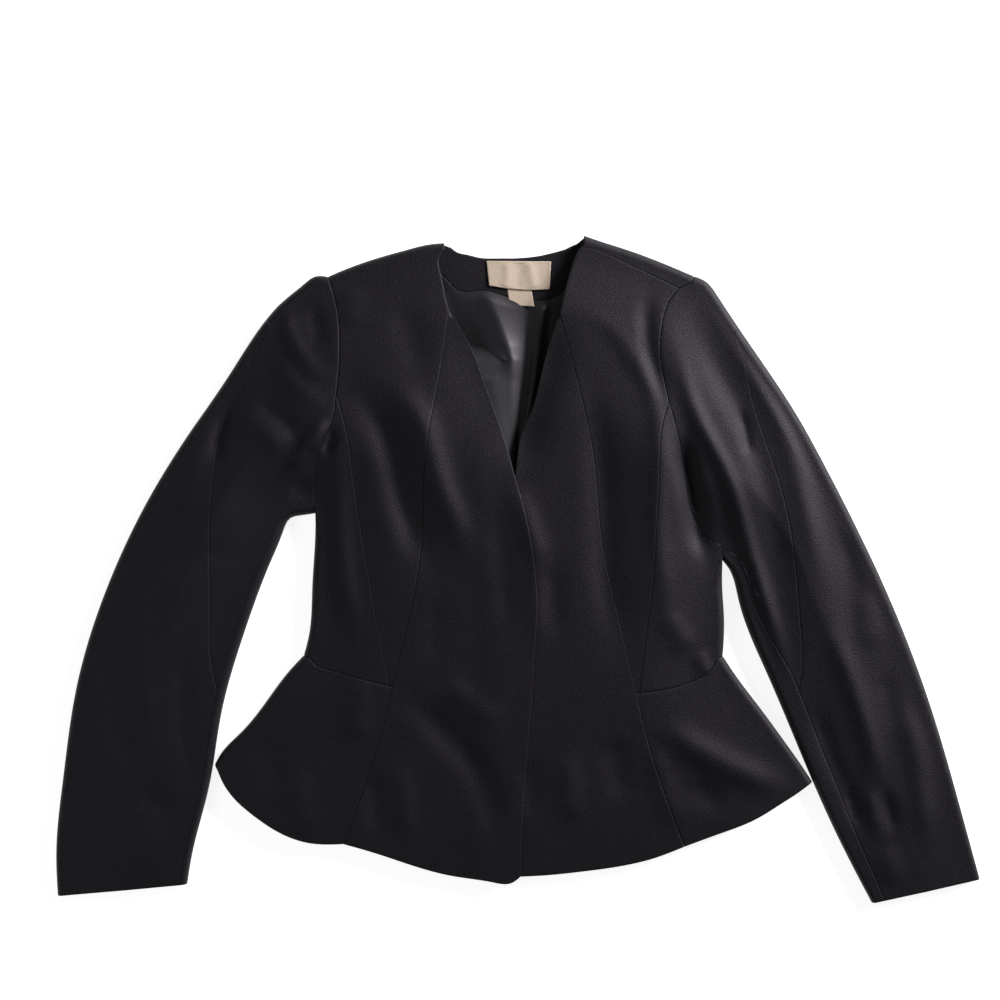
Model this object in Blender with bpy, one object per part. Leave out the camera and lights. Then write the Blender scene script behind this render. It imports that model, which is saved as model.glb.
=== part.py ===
"""Women's peplum jacket, laid flat with its back down.

X runs to the wearer's left, Y toward the neck and Z up. The tables are in millimetres. Each cut piece is
a thin sheet: its plan is blended between its seam lines, its height comes from one surface for the whole
garment, and the pieces that turn over an edge follow a half circle round it.
"""

import bmesh
import bpy
import numpy as np

CLOTH = 1.8
LINING = 1.3
LABEL = 1.0
SEAM_GAP = 0.3
LAYER_GAP = 0.35
UNDERLAP = 27.0
FOLD_STRIP = 2.0
FOLD_STEPS = 6
TURN_BLEND = 35.0
# Last stretch of the armhole seam, straight toward the underarm, before it turns under.
DIVE = 8.0

# Radius of the edge folds, by distance up the garment: y, radius.
FOLD_RADIUS = ((-320, 4.8), (-250, 5.4), (-120, 6.4), (0, 7.0), (330, 7.0))
# How far the top layer stands above its edge folds, by distance up the garment: y, rise.
LOFT = ((-320, 1.0), (-250, 2.0), (-150, 4.0), (-60, 5.5), (40, 8.0), (150, 9.5), (250, 7.5), (330, 5.0))
# Bust fullness: x, y, rise, spread.
BUST = ((-98, 128, 5.5, 52), (82, 118, 5.0, 50))

# Broad folds of the top layer: rise, width, then the line of the fold as x, y.
FOLDS = {
    "neckline_right": (-2.6, 26, ((-65, 244), (-37, 193), (-3, 88))),
    "neckline_left": (-2.6, 26, ((39, 242), (17, 166), (-3, 88))),
    "bust_trough_right": (-2.2, 15, ((-157, 176), (-123, 114), (-93, 43), (-68, -10))),
    "bust_ridge_right": (1.8, 15, ((-114, 166), (-76, 109), (-50, 33), (-38, -38))),
    "side_ridge_right": (1.8, 14, ((-163, 123), (-150, 38), (-135, -43))),
    "bust_trough_left": (-2.2, 16, ((76, 214), (99, 123), (106, 24), (116, -66))),
    "bust_ridge_left": (2.4, 15, ((78, 256), (116, 214), (138, 166), (151, 114), (163, 38), (176, -28))),
    "closing_trough": (-1.6, 15, ((11, 85), (47, 33), (80, -28))),
    "peplum_trough_right": (-1.8, 15, ((-79, -114), (-60, -161), (-28, -218), (-12, -275))),
    "peplum_ridge_right": (1.4, 14, ((-127, -150), (-124, -218), (-120, -266))),
    "peplum_trough_left": (-2.0, 15, ((150, -150), (187, -195), (218, -233))),
    "peplum_ridge_left": (1.6, 15, ((130, -123), (173, -144), (225, -177), (262, -192))),
    "peplum_flute_left": (-1.4, 13, ((118, -135), (131, -185), (142, -242))),
    "front_flute_left": (-1.4, 13, ((25, -150), (38, -204), (46, -266))),
    "sleeve_head_right": (1.8, 14, ((-207, 262), (-196, 228), (-182, 188))),
    "sleeve_ridge_right": (1.8, 14, ((-254, 160), (-226, 133), (-200, 112))),
    "sleeve_crease_right": (-1.8, 14, ((-252, 190), (-274, 147), (-286, 95))),
    "sleeve_low_right": (-1.6, 15, ((-366, -138), (-352, -185), (-325, -233))),
    "sleeve_ridge_left": (2.2, 15, ((170, 214), (194, 133), (222, 76), (244, 0), (263, -76), (282, -142))),
    "sleeve_crease_left": (-1.8, 14, ((213, 223), (230, 171), (240, 114), (251, 62))),
    "sleeve_low_left": (-1.5, 14, ((314, -162), (323, -195), (330, -233))),
}
# Waves of the lining: rise, width, line as x, y.
LINING_WAVES = {
    "broad": (2.6, 12, ((-2, 250), (2, 180), (0, 90))),
    "right": (1.6, 9, ((-45, 262), (-30, 215), (-12, 150))),
    "left": (1.4, 8, ((36, 250), (26, 200), (14, 130))),
}

# Directions in which the cloth turns where two edge folds meet: x, y.
TURNS = {
    "shoulder_right": (-0.35, 0.94),
    "shoulder_left": (0.35, 0.94),
    "underarm_right": (0.0, -1.0),
    "underarm_left": (0.15, -0.99),
    "waist_right": (-0.92, 0.38),
    "waist_left": (0.96, 0.29),
}

# Outline of the garment where cloth folds over: outward side, turn at the start, turn at the end, x and y.
OUTLINE = {
    "shoulder_right": (1, "shoulder_right", None, (
        (-180.5, 278.5), (-169, 283.5), (-136, 295.5), (-102.5, 305), (-84, 309.3), (-70, 310.5))),
    "shoulder_left": (-1, "shoulder_left", None, (
        (167, 279), (135, 292.5), (102.5, 304.5), (76, 313), (63, 317.5))),
    "sleeve_outer_right": (-1, "shoulder_right", None, (
        (-180.5, 278.5), (-192, 279), (-204, 271), (-221.5, 256.5), (-272.5, 188), (-333.5, 97),
        (-390.5, -17), (-420, -114), (-432.5, -199.5), (-439, -270), (-437.5, -309.5))),
    "sleeve_outer_left": (1, "shoulder_left", None, (
        (167, 279), (177.5, 274.5), (189, 261), (219.5, 214.5), (264, 148), (292.5, 97),
        (348.5, -17), (392.5, -131), (421, -228), (439, -293.5))),
    "sleeve_inner_right": (1, "underarm_right", None, (
        (-192, 54), (-205, 52), (-216.5, 49), (-223, 37), (-235.5, 6.5), (-261, -62.5),
        (-282, -137), (-293.5, -205), (-310.5, -273.5), (-314.5, -298.5))),
    "sleeve_inner_left": (-1, "underarm_left", None, (
        (194, 9.5), (200.5, 1), (209, -26.5), (235.5, -96), (267, -170), (305, -255.5), (336.5, -316.5))),
    "side_right": (-1, "underarm_right", "waist_right", (
        (-192, 54), (-193, 24), (-195.5, -17), (-198.5, -61), (-203.5, -81))),
    "side_left": (1, "underarm_left", "waist_left", (
        (194, 9.5), (194, -17), (195.5, -40), (195.5, -66.5), (194.5, -81.5))),
    "peplum_right": (-1, "waist_right", None, (
        (-203.5, -81), (-217.5, -96), (-237.5, -122.5), (-263, -154), (-282, -174), (-288, -184.5))),
    "peplum_left": (1, "waist_left", None, (
        (194.5, -81.5), (206, -99), (230, -131), (254.5, -164.5), (268, -183.5), (275.5, -195))),
}

# Seams and free edges between the folds, each as x and y. None stands for the end of a fold.
LINES = {
    "armhole_up_right": (None, (-172.5, 252), (-169.5, 235), (-168.5, 214), (-169, 190), (-171.5, 165.5)),
    "armhole_low_right": ((-171.5, 165.5), (-176, 138.5), (-186, 117), (-191, 95), None),
    "armhole_up_left": ((152, 267), (141.5, 252), (135, 229), (133.5, 204), (137, 180.5), (141.5, 158.5)),
    "armhole_low_left": ((141.5, 158.5), (149, 133), (155, 106.5), (160.5, 74), (168, 46), (180, 31), None),
    "shoulder_seam_left": ((152, 267), (123.5, 281), (95, 294.5), (76, 303), (60, 306.5)),
    "neck_right": (None, (-75, 294.5), (-73, 280), (-69.5, 262), (-65, 244)),
    "neck_left": ((60, 306.5), (56, 300), (50.5, 286), (44.5, 266), (39, 242)),
    "vee_right": ((-63.2, 241.6), (-45.5, 212), (-29.5, 171), (-14, 128), (-3, 88.5)),
    "vee_left": ((38.2, 239.1), (24, 194), (10.5, 146.5), (3, 130), (-0.5, 112), (-3, 88.5)),
    "closing_edge": ((-3, 88.5), (5.5, 59), (12.5, 25.5), (17, -9.5), (18, -28.5), (16, -69.5),
                     (13.5, -112), (8.5, -177.5), (5, -224), (3, -264), (2, -290.5)),
    "princess_up_right": ((-65, 244), (-75, 178.5), (-87.5, 102.5), (-89.5, 57), (-96, -9.5),
                          (-112, -81.5), (-119, -110)),
    "princess_low_right": ((-119, -110), (-128, -148), (-139.5, -185), (-152, -223), (-165.5, -259.5)),
    "princess_up_left": ((39, 242), (57, 173), (72.5, 98), (79, 28.5), (94, -42), (111.8, -116)),
    "princess_low_left": ((111.8, -116), (127.5, -178.5), (147, -234.5), (157.5, -262)),
    "side_seam_right": ((-171.5, 165.5), (-163.5, 138), (-155, 81), (-145.5, 19), (-134, -44.5),
                        (-121.4, -109.5)),
    "side_seam_left": ((141.5, 158.5), (135, 135), (132, 90), (129.5, 38), (126.5, -12.5), (120.5, -62),
                       (114.4, -116)),
    "waist_right": (None, (-193, -88.5), (-176.5, -95), (-156, -100.5), (-121.4, -109.5)),
    "waist_left": (None, (181, -96), (163.5, -105.5), (146.5, -111), (114.4, -116)),
    "hem_side_right": (None, (-280, -201), (-268, -217.5), (-248, -234.5), (-221.5, -251), (-195, -259),
                       (-165.5, -259.5)),
    "hem_side_left": (None, (267, -210), (249, -223), (222.5, -237), (190, -249), (157.5, -262)),
    "hem_front_right": ((-165.5, -259.5), (-136, -268), (-101.5, -279.5), (-59, -290.5), (-24.5, -295.5),
                        (-6.5, -296.5), (2, -290.5)),
    "hem_front_left": ((3, -290.5), (24, -289.5), (59, -286), (95, -281), (129, -273), (157.5, -262)),
    "hem_back": (None, (-274, -203), (-246, -230), (-195, -254), (-120, -269), (-50, -284), (0, -286),
                 (60, -282), (130, -267), (190, -244), (245, -220), (266, -206), None),
    "back_neck_right": (None, (-57, 303), (-43.5, 299.5), (-28.5, 297.5), (-5, 296.9)),
    "back_neck_left": (None, (50.5, 308), (37, 303), (21, 299), (-5, 296.9)),
    "back_waist_right": (None, (-100, -98), (-5, -103)),
    "back_waist_left": (None, (95, -98), (-5, -103)),
    "sleeve_seam_right": (None, (-247, 207), (-256.5, 177.5), (-279.5, 136), (-286, 109), (-290, 66.5),
                          (-291.5, 20), (-291, -41), (-290, -90), None),
    "sleeve_seam_left": (None, (212, 204), (219, 171), (232, 126), (246, 85), (257, 38), (263, -10),
                         (267, -56), (268.5, -92), None),
    "facing_neck": ((-68, 300.5), (-57, 302.2), (-43.5, 298.7), (-28.5, 296.7), (-5, 296.1), (21, 298.2),
                    (37, 302.2), (57, 307)),
    "facing_low": ((-80, 285), (-70, 279), (-57, 266), (-33, 266), (-10.5, 260), (13.5, 256.5),
                   (27.5, 257.5), (40, 263), (56, 279)),
    "lining_right": ((-84, 281), (-74, 235.5), (-53, 197.5), (-36, 159.5), (-22, 118), (-11.5, 74)),
    "lining_left": ((60, 276), (42, 228), (30.5, 188), (22, 152), (14, 118), (7.5, 74)),
}

# Where the sleeve seam leaves the outer fold and reaches the inner one, as shares of their length, and the
# width of the under sleeve that shows on top, by share of the inner edge.
SLEEVES = {
    "right": {"starts": 0.108, "ends": 0.53, "strip": ((0, 1.2), (1, 1.2))},
    "left": {"starts": 0.10, "ends": 0.41, "strip": ((0, 1.5), (0.12, 4.0), (0.35, 14.0), (0.7, 13.0), (1, 7.0))},
}

LABEL_CORNERS = ((-30, 294), (31.5, 293.5), (30, 267.5), (-27.5, 271))
TAG_CORNERS = ((-9.6, 265.2), (12.6, 264.0), (15, 251), (-7, 253.5))


def smooth(share):
    share = np.clip(share, 0.0, 1.0)
    return share * share * (3 - 2 * share)


def column(table, at, where):
    """The table's column at these places of its first one."""
    rows = np.array(table, float)
    return np.interp(where, rows[:, 0], rows[:, at])


def curve(points, count=240):
    """A natural cubic through the points, as an even run of count steps."""
    points = np.array(points, float)
    stations = np.concatenate([[0], np.cumsum(np.hypot(*np.diff(points, axis=0).T))])
    last = len(points) - 1
    if last == 1:
        fine = points
    else:
        step = np.diff(stations)
        system = np.eye(last + 1)
        right = np.zeros((last + 1, 2))
        slopes = np.diff(points, axis=0) / step[:, None]
        for i in range(1, last):
            system[i, i - 1:i + 2] = step[i - 1], 2 * (step[i - 1] + step[i]), step[i]
            right[i] = 6 * (slopes[i] - slopes[i - 1])
        bend = np.linalg.solve(system, right)
        where = np.linspace(0, stations[-1], 900)
        i = np.clip(np.searchsorted(stations, where) - 1, 0, last - 1)
        width = step[i][:, None]
        after = (where - stations[i])[:, None] / width
        before = 1 - after
        fine = before * points[i] + after * points[i + 1] + (
            (before**3 - before) * bend[i] + (after**3 - after) * bend[i + 1]) * width**2 / 6
    return evenly(fine, count)


def evenly(line, count, start=0.0, end=1.0):
    """The line from one share of its length to another, in count even steps."""
    length = np.concatenate([[0], np.cumsum(np.hypot(*np.diff(line[:, :2], axis=0).T))])
    where = np.linspace(start, end, count + 1) * length[-1]
    return np.stack([np.interp(where, length, line[:, i]) for i in range(line.shape[1])], axis=1)


def unit(vectors):
    return vectors / np.hypot(vectors[:, 0], vectors[:, 1])[:, None]


def edge_fold(outward, start_turn, end_turn, points):
    """x, y of the fold line, which lies one radius inside the outline, and the direction of its turn."""
    line = curve(points)
    along = unit(np.gradient(line, axis=0))
    turn = outward * np.stack([-along[:, 1], along[:, 0]], axis=1)
    travelled = np.linspace(0, 1, len(line)) * np.hypot(*np.diff(line, axis=0).T).sum()
    for name, distance in ((start_turn, travelled), (end_turn, travelled[-1] - travelled)):
        if name:
            share = 1 - smooth(distance / TURN_BLEND)
            turn = unit(turn * (1 - share)[:, None] + np.array(TURNS[name]) * share[:, None])
    radius = column(FOLD_RADIUS, 1, line[:, 1])
    return np.concatenate([line - turn * radius[:, None], turn], axis=1)


FOLD_LINES = {name: edge_fold(*row) for name, row in OUTLINE.items()}
ALL_FOLDS = np.concatenate([line[:, :2] for line in FOLD_LINES.values()])


def distance_to(points, line):
    """Distance from each point to the line drawn through the given corners."""
    points = points.reshape(-1, 2)
    nearest = np.full(len(points), np.inf)
    for a, b in zip(np.array(line, float)[:-1], np.array(line, float)[1:]):
        share = np.clip(((points - a) @ (b - a)) / ((b - a) @ (b - a)), 0, 1)
        nearest = np.minimum(nearest, np.hypot(*(points - a - share[:, None] * (b - a)).T))
    return nearest


def rises(points, folds):
    total = np.zeros(len(points))
    for rise, width, line in folds.values():
        total += rise * np.exp(-((distance_to(points, line) / width) ** 2))
    return total


def height(plan):
    """Height of the garment's top surface over each x, y."""
    points = plan.reshape(-1, 2)
    inside = np.array([np.hypot(*(ALL_FOLDS - point).T).min() for point in points])
    top = 2 * column(FOLD_RADIUS, 1, points[:, 1])
    top += column(LOFT, 1, points[:, 1]) * smooth(inside / 75)
    for x, y, rise, spread in BUST:
        away = ((points[:, 0] - x) ** 2 + (points[:, 1] - y) ** 2) / spread**2
        top += rise * np.exp(-away) * smooth(inside / 45)
    top += rises(points, FOLDS) * smooth(inside / 24)
    return np.maximum(top, 8.4).reshape(plan.shape[:-1])


def line_between(name, start=None, end=None, count=1):
    """One of the LINES with its open ends set, in count steps."""
    points = list(LINES[name])
    if points[0] is None:
        points[0] = tuple(start)
    if points[-1] is None:
        points[-1] = tuple(end)
    return evenly(curve(points), count)


def joined(*lines):
    """Lines end to end, with the points where they meet kept once."""
    return np.concatenate([lines[0]] + [line[1:] for line in lines[1:]])


def blend(left, right, top, bottom):
    """Plan between four sides: rows run from left to right, and the first row is the top."""
    rows, columns = len(left) - 1, len(top) - 1
    down = np.linspace(0, 1, rows + 1)[:, None, None]
    across = np.linspace(0, 1, columns + 1)[None, :, None]
    sides = (1 - across) * left[:, None] + across * right[:, None]
    ends = (1 - down) * top[None] + down * bottom[None]
    corners = ((1 - down) * ((1 - across) * top[0] + across * top[-1])
               + down * ((1 - across) * bottom[0] + across * bottom[-1]))
    return sides + ends - corners


def inward(border, inner):
    """Unit normals of a border, toward the next row of points."""
    along = np.gradient(border, axis=0)
    normal = unit(np.stack([-along[:, 1], along[:, 0]], axis=1))
    sign = np.sign(((inner - border) * normal).sum(axis=1))
    return normal * np.where(sign == 0, 1, sign)[:, None]


def trimmed(plan, sides, by=SEAM_GAP / 2):
    """The plan drawn in from the named sides, L, R, T and B, to leave the seam's gap."""
    moved = plan.copy()
    borders = {"L": (plan[:, 0], plan[:, 1], np.s_[:, 0]), "R": (plan[:, -1], plan[:, -2], np.s_[:, -1]),
               "T": (plan[0], plan[1], np.s_[0]), "B": (plan[-1], plan[-2], np.s_[-1])}
    for side in sides:
        border, inner, where = borders[side]
        moved[where] += inward(border, inner) * by
    return moved


def standing(plan, top, thick=CLOTH):
    """Outer and inner points of a layer with its outer face at this height."""
    top = np.broadcast_to(top, plan.shape[:-1])[..., None]
    return np.concatenate([plan, top], axis=-1), np.concatenate([plan, top - thick], axis=-1)


def lying(plan, thick=CLOTH, base=0.0):
    """Outer and inner points of a layer that rests with its outer face down."""
    low = np.full(plan.shape[:-1] + (1,), base)
    return np.concatenate([plan, low], axis=-1), np.concatenate([plan, low + thick], axis=-1)


def turned(border, turn, strip=FOLD_STRIP, thick=CLOTH):
    """Outer and inner points from the top layer's border, round the fold, to a strip underneath."""
    radius = (height(border) / 2)[:, None]
    outer, inner = [], []
    for angle in np.linspace(0, np.pi, FOLD_STEPS + 1):
        for wall, points in ((radius, outer), (radius - thick, inner)):
            plan = border + turn * wall * np.sin(angle)
            points.append(np.concatenate([plan, radius + wall * np.cos(angle)], axis=1))
    outer, inner = np.stack(outer, axis=1), np.stack(inner, axis=1)
    outer[:, -1, 2] = 0.0
    inner[:, -1, 2] = thick
    if strip:
        under = np.stack([border, border - turn * strip], axis=1)
        more = lying(under, thick)
        outer = np.concatenate([outer, more[0][:, 1:]], axis=1)
        inner = np.concatenate([inner, more[1][:, 1:]], axis=1)
    return outer, inner


def sheet(name, grids, colour, roughness):
    """One closed thin solid from grids of outer and inner points that share their borders."""
    index, outer, inner, faces = {}, [], [], []
    for grid_outer, grid_inner in grids:
        ids = np.empty(grid_outer.shape[:2], int)
        for place in np.ndindex(ids.shape):
            key = tuple(np.round(grid_outer[place], 2))
            if key not in index:
                index[key] = len(outer)
                outer.append(grid_outer[place])
                inner.append(grid_inner[place])
            ids[place] = index[key]
        for row in range(ids.shape[0] - 1):
            for step in range(ids.shape[1] - 1):
                ring = (ids[row, step], ids[row + 1, step], ids[row + 1, step + 1], ids[row, step + 1])
                ring = [int(v) for v, after in zip(ring, ring[1:] + ring[:1]) if v != after]
                if len(ring) > 2:
                    faces += [(ring[0], ring[i], ring[i + 1]) for i in range(1, len(ring) - 1)]
    mesh = bmesh.new()
    top = [mesh.verts.new(point / 1000) for point in outer]
    base = [mesh.verts.new(point / 1000) for point in inner]
    for ring in faces:
        mesh.faces.new([top[v] for v in ring])
    bmesh.ops.recalc_face_normals(mesh, faces=mesh.faces[:])
    drawn = [[v.index for v in face.verts] for face in indexed(mesh).faces]
    for ring in drawn:
        mesh.faces.new([base[v] for v in reversed(ring)])
    rims = [edge for edge in mesh.edges if len(edge.link_faces) == 1 and edge.verts[0].index < len(top)]
    for edge in rims:
        a, b = (v.index for v in edge.verts)
        mesh.faces.new([top[a], top[b], base[b], base[a]])
    bmesh.ops.recalc_face_normals(mesh, faces=mesh.faces[:])
    if mesh.calc_volume(signed=True) < 0:
        bmesh.ops.reverse_faces(mesh, faces=mesh.faces[:])
    data = bpy.data.meshes.new(name)
    mesh.to_mesh(data)
    mesh.free()
    item = bpy.data.objects.new(name, data)
    bpy.context.collection.objects.link(item)
    material = bpy.data.materials.new(name)
    material.use_nodes = True
    shader = material.node_tree.nodes["Principled BSDF"]
    shader.inputs["Base Color"].default_value = (*colour, 1)
    shader.inputs["Roughness"].default_value = roughness
    data.materials.append(material)


def indexed(mesh):
    mesh.verts.index_update()
    return mesh


CREPE = ((0.012, 0.011, 0.013), 0.85)
SATIN = ((0.09, 0.085, 0.09), 0.35)
WOVEN = ((0.60, 0.50, 0.40), 0.7)

for item in list(bpy.data.objects):
    bpy.data.objects.remove(item)

# Lift of the right front where it lies on the left one's underlap.
closing_line = curve(LINES["closing_edge"])


def lift(plan):
    away = np.array([np.hypot(*(closing_line - point).T).min() for point in plan.reshape(-1, 2)])
    return ((CLOTH + LAYER_GAP) * (1 - smooth((away - UNDERLAP - 4) / 34))).reshape(plan.shape[:-1])


# Seam lines of each side, in the steps that the pieces on both sides of a seam share.
seams = {}
for side in ("right", "left"):
    line = {
        "shoulder": evenly(FOLD_LINES[f"shoulder_{side}"], 6),
        "side": evenly(FOLD_LINES[f"side_{side}"], 8),
        "peplum": evenly(FOLD_LINES[f"peplum_{side}"], 6),
    }
    shoulder, waist_end = line["shoulder"][0, :2], line["side"][-1, :2]
    neck_end, underarm = line["shoulder"][-1, :2], line["side"][0, :2]
    dive = underarm - line["side"][0, 2:] * DIVE
    line["armhole_low"] = np.concatenate([line_between(f"armhole_low_{side}", end=dive, count=5), [underarm]])
    if side == "right":
        line["armhole_up"] = line_between("armhole_up_right", start=shoulder, count=6)
        line["neck"] = line_between("neck_right", start=neck_end, count=4)
        line["shoulder_edge"] = line["shoulder"][:, :2]
    else:
        lower = line_between("armhole_up_left", count=5)
        line["armhole_up"] = np.concatenate([[shoulder], lower])
        line["neck"] = line_between("neck_left", count=3)
        line["shoulder_edge"] = line_between("shoulder_seam_left", count=6)
    line["armhole"] = joined(line["armhole_up"], line["armhole_low"])
    line["princess_up"] = line_between(f"princess_up_{side}", count=10)
    line["princess_low"] = line_between(f"princess_low_{side}", count=6)
    line["side_seam"] = line_between(f"side_seam_{side}", count=8)
    line["waist"] = line_between(f"waist_{side}", start=waist_end, count=6)
    line["hem_side"] = line_between(f"hem_side_{side}", start=line["peplum"][-1, :2], count=7)
    line["back_neck"] = line_between(f"back_neck_{side}", start=neck_end, count=4)
    line["back_waist"] = line_between(f"back_waist_{side}", start=waist_end, count=10)
    seams[side] = line

# Fronts. The last three steps toward the closing edge lie a set distance from it, for the underlap.
closing = evenly(closing_line, 11)
fronts = {}
for side, vee, hem in (("right", "vee_right", "hem_front_right"), ("left", "vee_left", "hem_front_left")):
    line = seams[side]
    seam = joined(line["princess_up"], line["princess_low"])
    free = joined(line_between(vee, count=5), closing)
    top = evenly(np.stack([seam[0], free[0]]), 60)
    bottom = line_between(hem, count=60)
    if side == "left":
        bottom = bottom[::-1]
    wide = blend(seam, free, top, bottom)
    plan = np.empty((17, 9, 2))
    for row, points in enumerate(wide):
        length = np.hypot(*np.diff(points, axis=0).T).sum()
        band = min(UNDERLAP / length, 0.3)
        for step, share in enumerate((*np.linspace(0, 1 - band, 6), 1 - band * 2 / 3, 1 - band / 3, 1)):
            plan[row, step] = evenly(points, 1, share, share)[0]
    fronts[side] = plan

right = trimmed(fronts["right"], "L")
sheet("front_center_right", [standing(right, height(right) + lift(right))], *CREPE)
left = trimmed(fronts["left"], "L")
underlap = fronts["right"][5:, 5:]
sheet("front_center_left", [standing(left, height(left)), standing(underlap, height(underlap))], *CREPE)

# Bust panels, from the shoulder to their point at the waist.
for side in ("right", "left"):
    line = seams[side]
    outside = joined(line["armhole_up"] if side == "right" else line["armhole_up"][1:], line["side_seam"])
    inside = joined(line["neck"], line["princess_up"])
    point = evenly(np.stack([line["side_seam"][-1], line["princess_up"][-1]]), 6)
    plan = blend(outside, inside, line["shoulder_edge"], point)
    plan = trimmed(plan, "LRB" if side == "right" else "LRTB")
    grids = [standing(plan, height(plan))]
    if side == "right":
        grids.append(turned(plan[0], line["shoulder"][:, 2:]))
    sheet(f"front_bust_{side}", grids, *CREPE)

# Side panels and side peplums, each turned under round the side fold.
for side in ("right", "left"):
    line = seams[side]
    plan = blend(line["side"][:, :2], line["side_seam"], line["armhole_low"][::-1], line["waist"])
    plan = trimmed(plan, "RTB")
    grids = [standing(plan, height(plan)), turned(plan[:, 0], line["side"][:, 2:])]
    sheet(f"front_side_{side}", grids, *CREPE)
    top = np.concatenate([line["waist"], line["princess_low"][:1]])
    plan = blend(line["peplum"][:, :2], line["princess_low"], top, line["hem_side"])
    plan = trimmed(plan, "RT")
    grids = [standing(plan, height(plan)), turned(plan[:, 0], line["peplum"][:, 2:])]
    sheet(f"peplum_side_{side}", grids, *CREPE)

# Back, flat on the surface. The left half comes over the shoulder to the seam in front of it.
back_centre = evenly(np.array([[-5, 296.9], [-5, -103]]), 20)
for side in ("right", "left"):
    line = seams[side]
    tuck = FOLD_STRIP + SEAM_GAP / 2
    side_line = line["side"][:, :2] - line["side"][:, 2:] * tuck
    shoulder_line = line["shoulder"][:, :2].copy()
    if side == "right":
        shoulder_line -= line["shoulder"][:, 2:] * tuck
    armhole = line["armhole"].copy()
    armhole[0], armhole[-1] = shoulder_line[0], side_line[0]
    neck = line["back_neck"].copy()
    neck[0] = shoulder_line[-1]
    waist = line["back_waist"].copy()
    waist[0] = side_line[-1]
    plan = blend(joined(armhole, side_line), back_centre, joined(shoulder_line, neck), waist)
    plan = trimmed(plan, "LRB")
    if side == "right":
        plan = trimmed(plan, "T")
        sheet("back_right", [lying(plan)], *CREPE)
        continue
    shoulder_border = plan[0, :7]
    over_outer, over_inner = turned(shoulder_border, line["shoulder"][:, 2:], strip=0)
    seam = trimmed(np.stack([line["shoulder_edge"], shoulder_border]), "T")[0]
    seam[0] += inward(line["armhole"][:3], line["armhole"][:3] + [-1, 0])[1] * SEAM_GAP / 2
    strip = np.stack([shoulder_border, seam], axis=1)
    sheet("back_left", [lying(plan), (over_outer, over_inner), standing(strip, height(strip))], *CREPE)

# Back peplum.
tuck = FOLD_STRIP + SEAM_GAP / 2
folds = {side: seams[side]["peplum"][:, :2] - seams[side]["peplum"][:, 2:] * tuck for side in seams}
waist = joined(seams["right"]["back_waist"], seams["left"]["back_waist"][::-1])
waist[0], waist[-1] = folds["right"][0], folds["left"][0]
hem = line_between("hem_back", folds["right"][-1], folds["left"][-1], 20)
sheet("back_peplum", [lying(trimmed(blend(folds["right"], folds["left"], waist, hem), "LRT"))], *CREPE)

# Inside of the neckline: facing and lining side by side, then the label and the tag on them.
facing_neck, facing_low = line_between("facing_neck", count=14), line_between("facing_low", count=14)
plan = blend(evenly(np.stack([facing_neck[0], facing_low[0]]), 3),
             evenly(np.stack([facing_neck[-1], facing_low[-1]]), 3), facing_neck, facing_low)
facing_base = CLOTH + SEAM_GAP
sheet("neck_facing_back", [standing(trimmed(plan, "B"), facing_base + 1.5, 1.5)], *CREPE)
lining_top = facing_low.copy()
lining_top[0], lining_top[-1] = LINES["lining_right"][0], LINES["lining_left"][0]
lining_bottom = evenly(np.array([LINES["lining_right"][-1], LINES["lining_left"][-1]], float), 14)
plan = blend(line_between("lining_right", count=10), line_between("lining_left", count=10),
             lining_top, lining_bottom)
plan = trimmed(plan, "T")
points = plan.reshape(-1, 2)
away = np.array([np.hypot(*(facing_low - point).T).min() for point in points])
waves = (np.maximum(rises(points, LINING_WAVES), 0) * smooth((away - 22) / 30)).reshape(plan.shape[:-1])
sheet("lining_back", [standing(plan, facing_base + LINING + waves, LINING)], *SATIN)
for name, corners, thick, steps, colours in (
        ("neck_label", LABEL_CORNERS, LABEL, (4, 8), WOVEN), ("size_tag", TAG_CORNERS, 0.8, (2, 4), WOVEN)):
    corners = np.array(corners, float)
    left, right = evenly(corners[[0, 3]], steps[0]), evenly(corners[[1, 2]], steps[0])
    plan = blend(left, right, evenly(corners[:2], steps[1]), evenly(corners[[3, 2]], steps[1]))
    base = facing_base + 1.5 + SEAM_GAP
    sheet(name, [standing(plan, base + thick, thick)], *colours)

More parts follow.
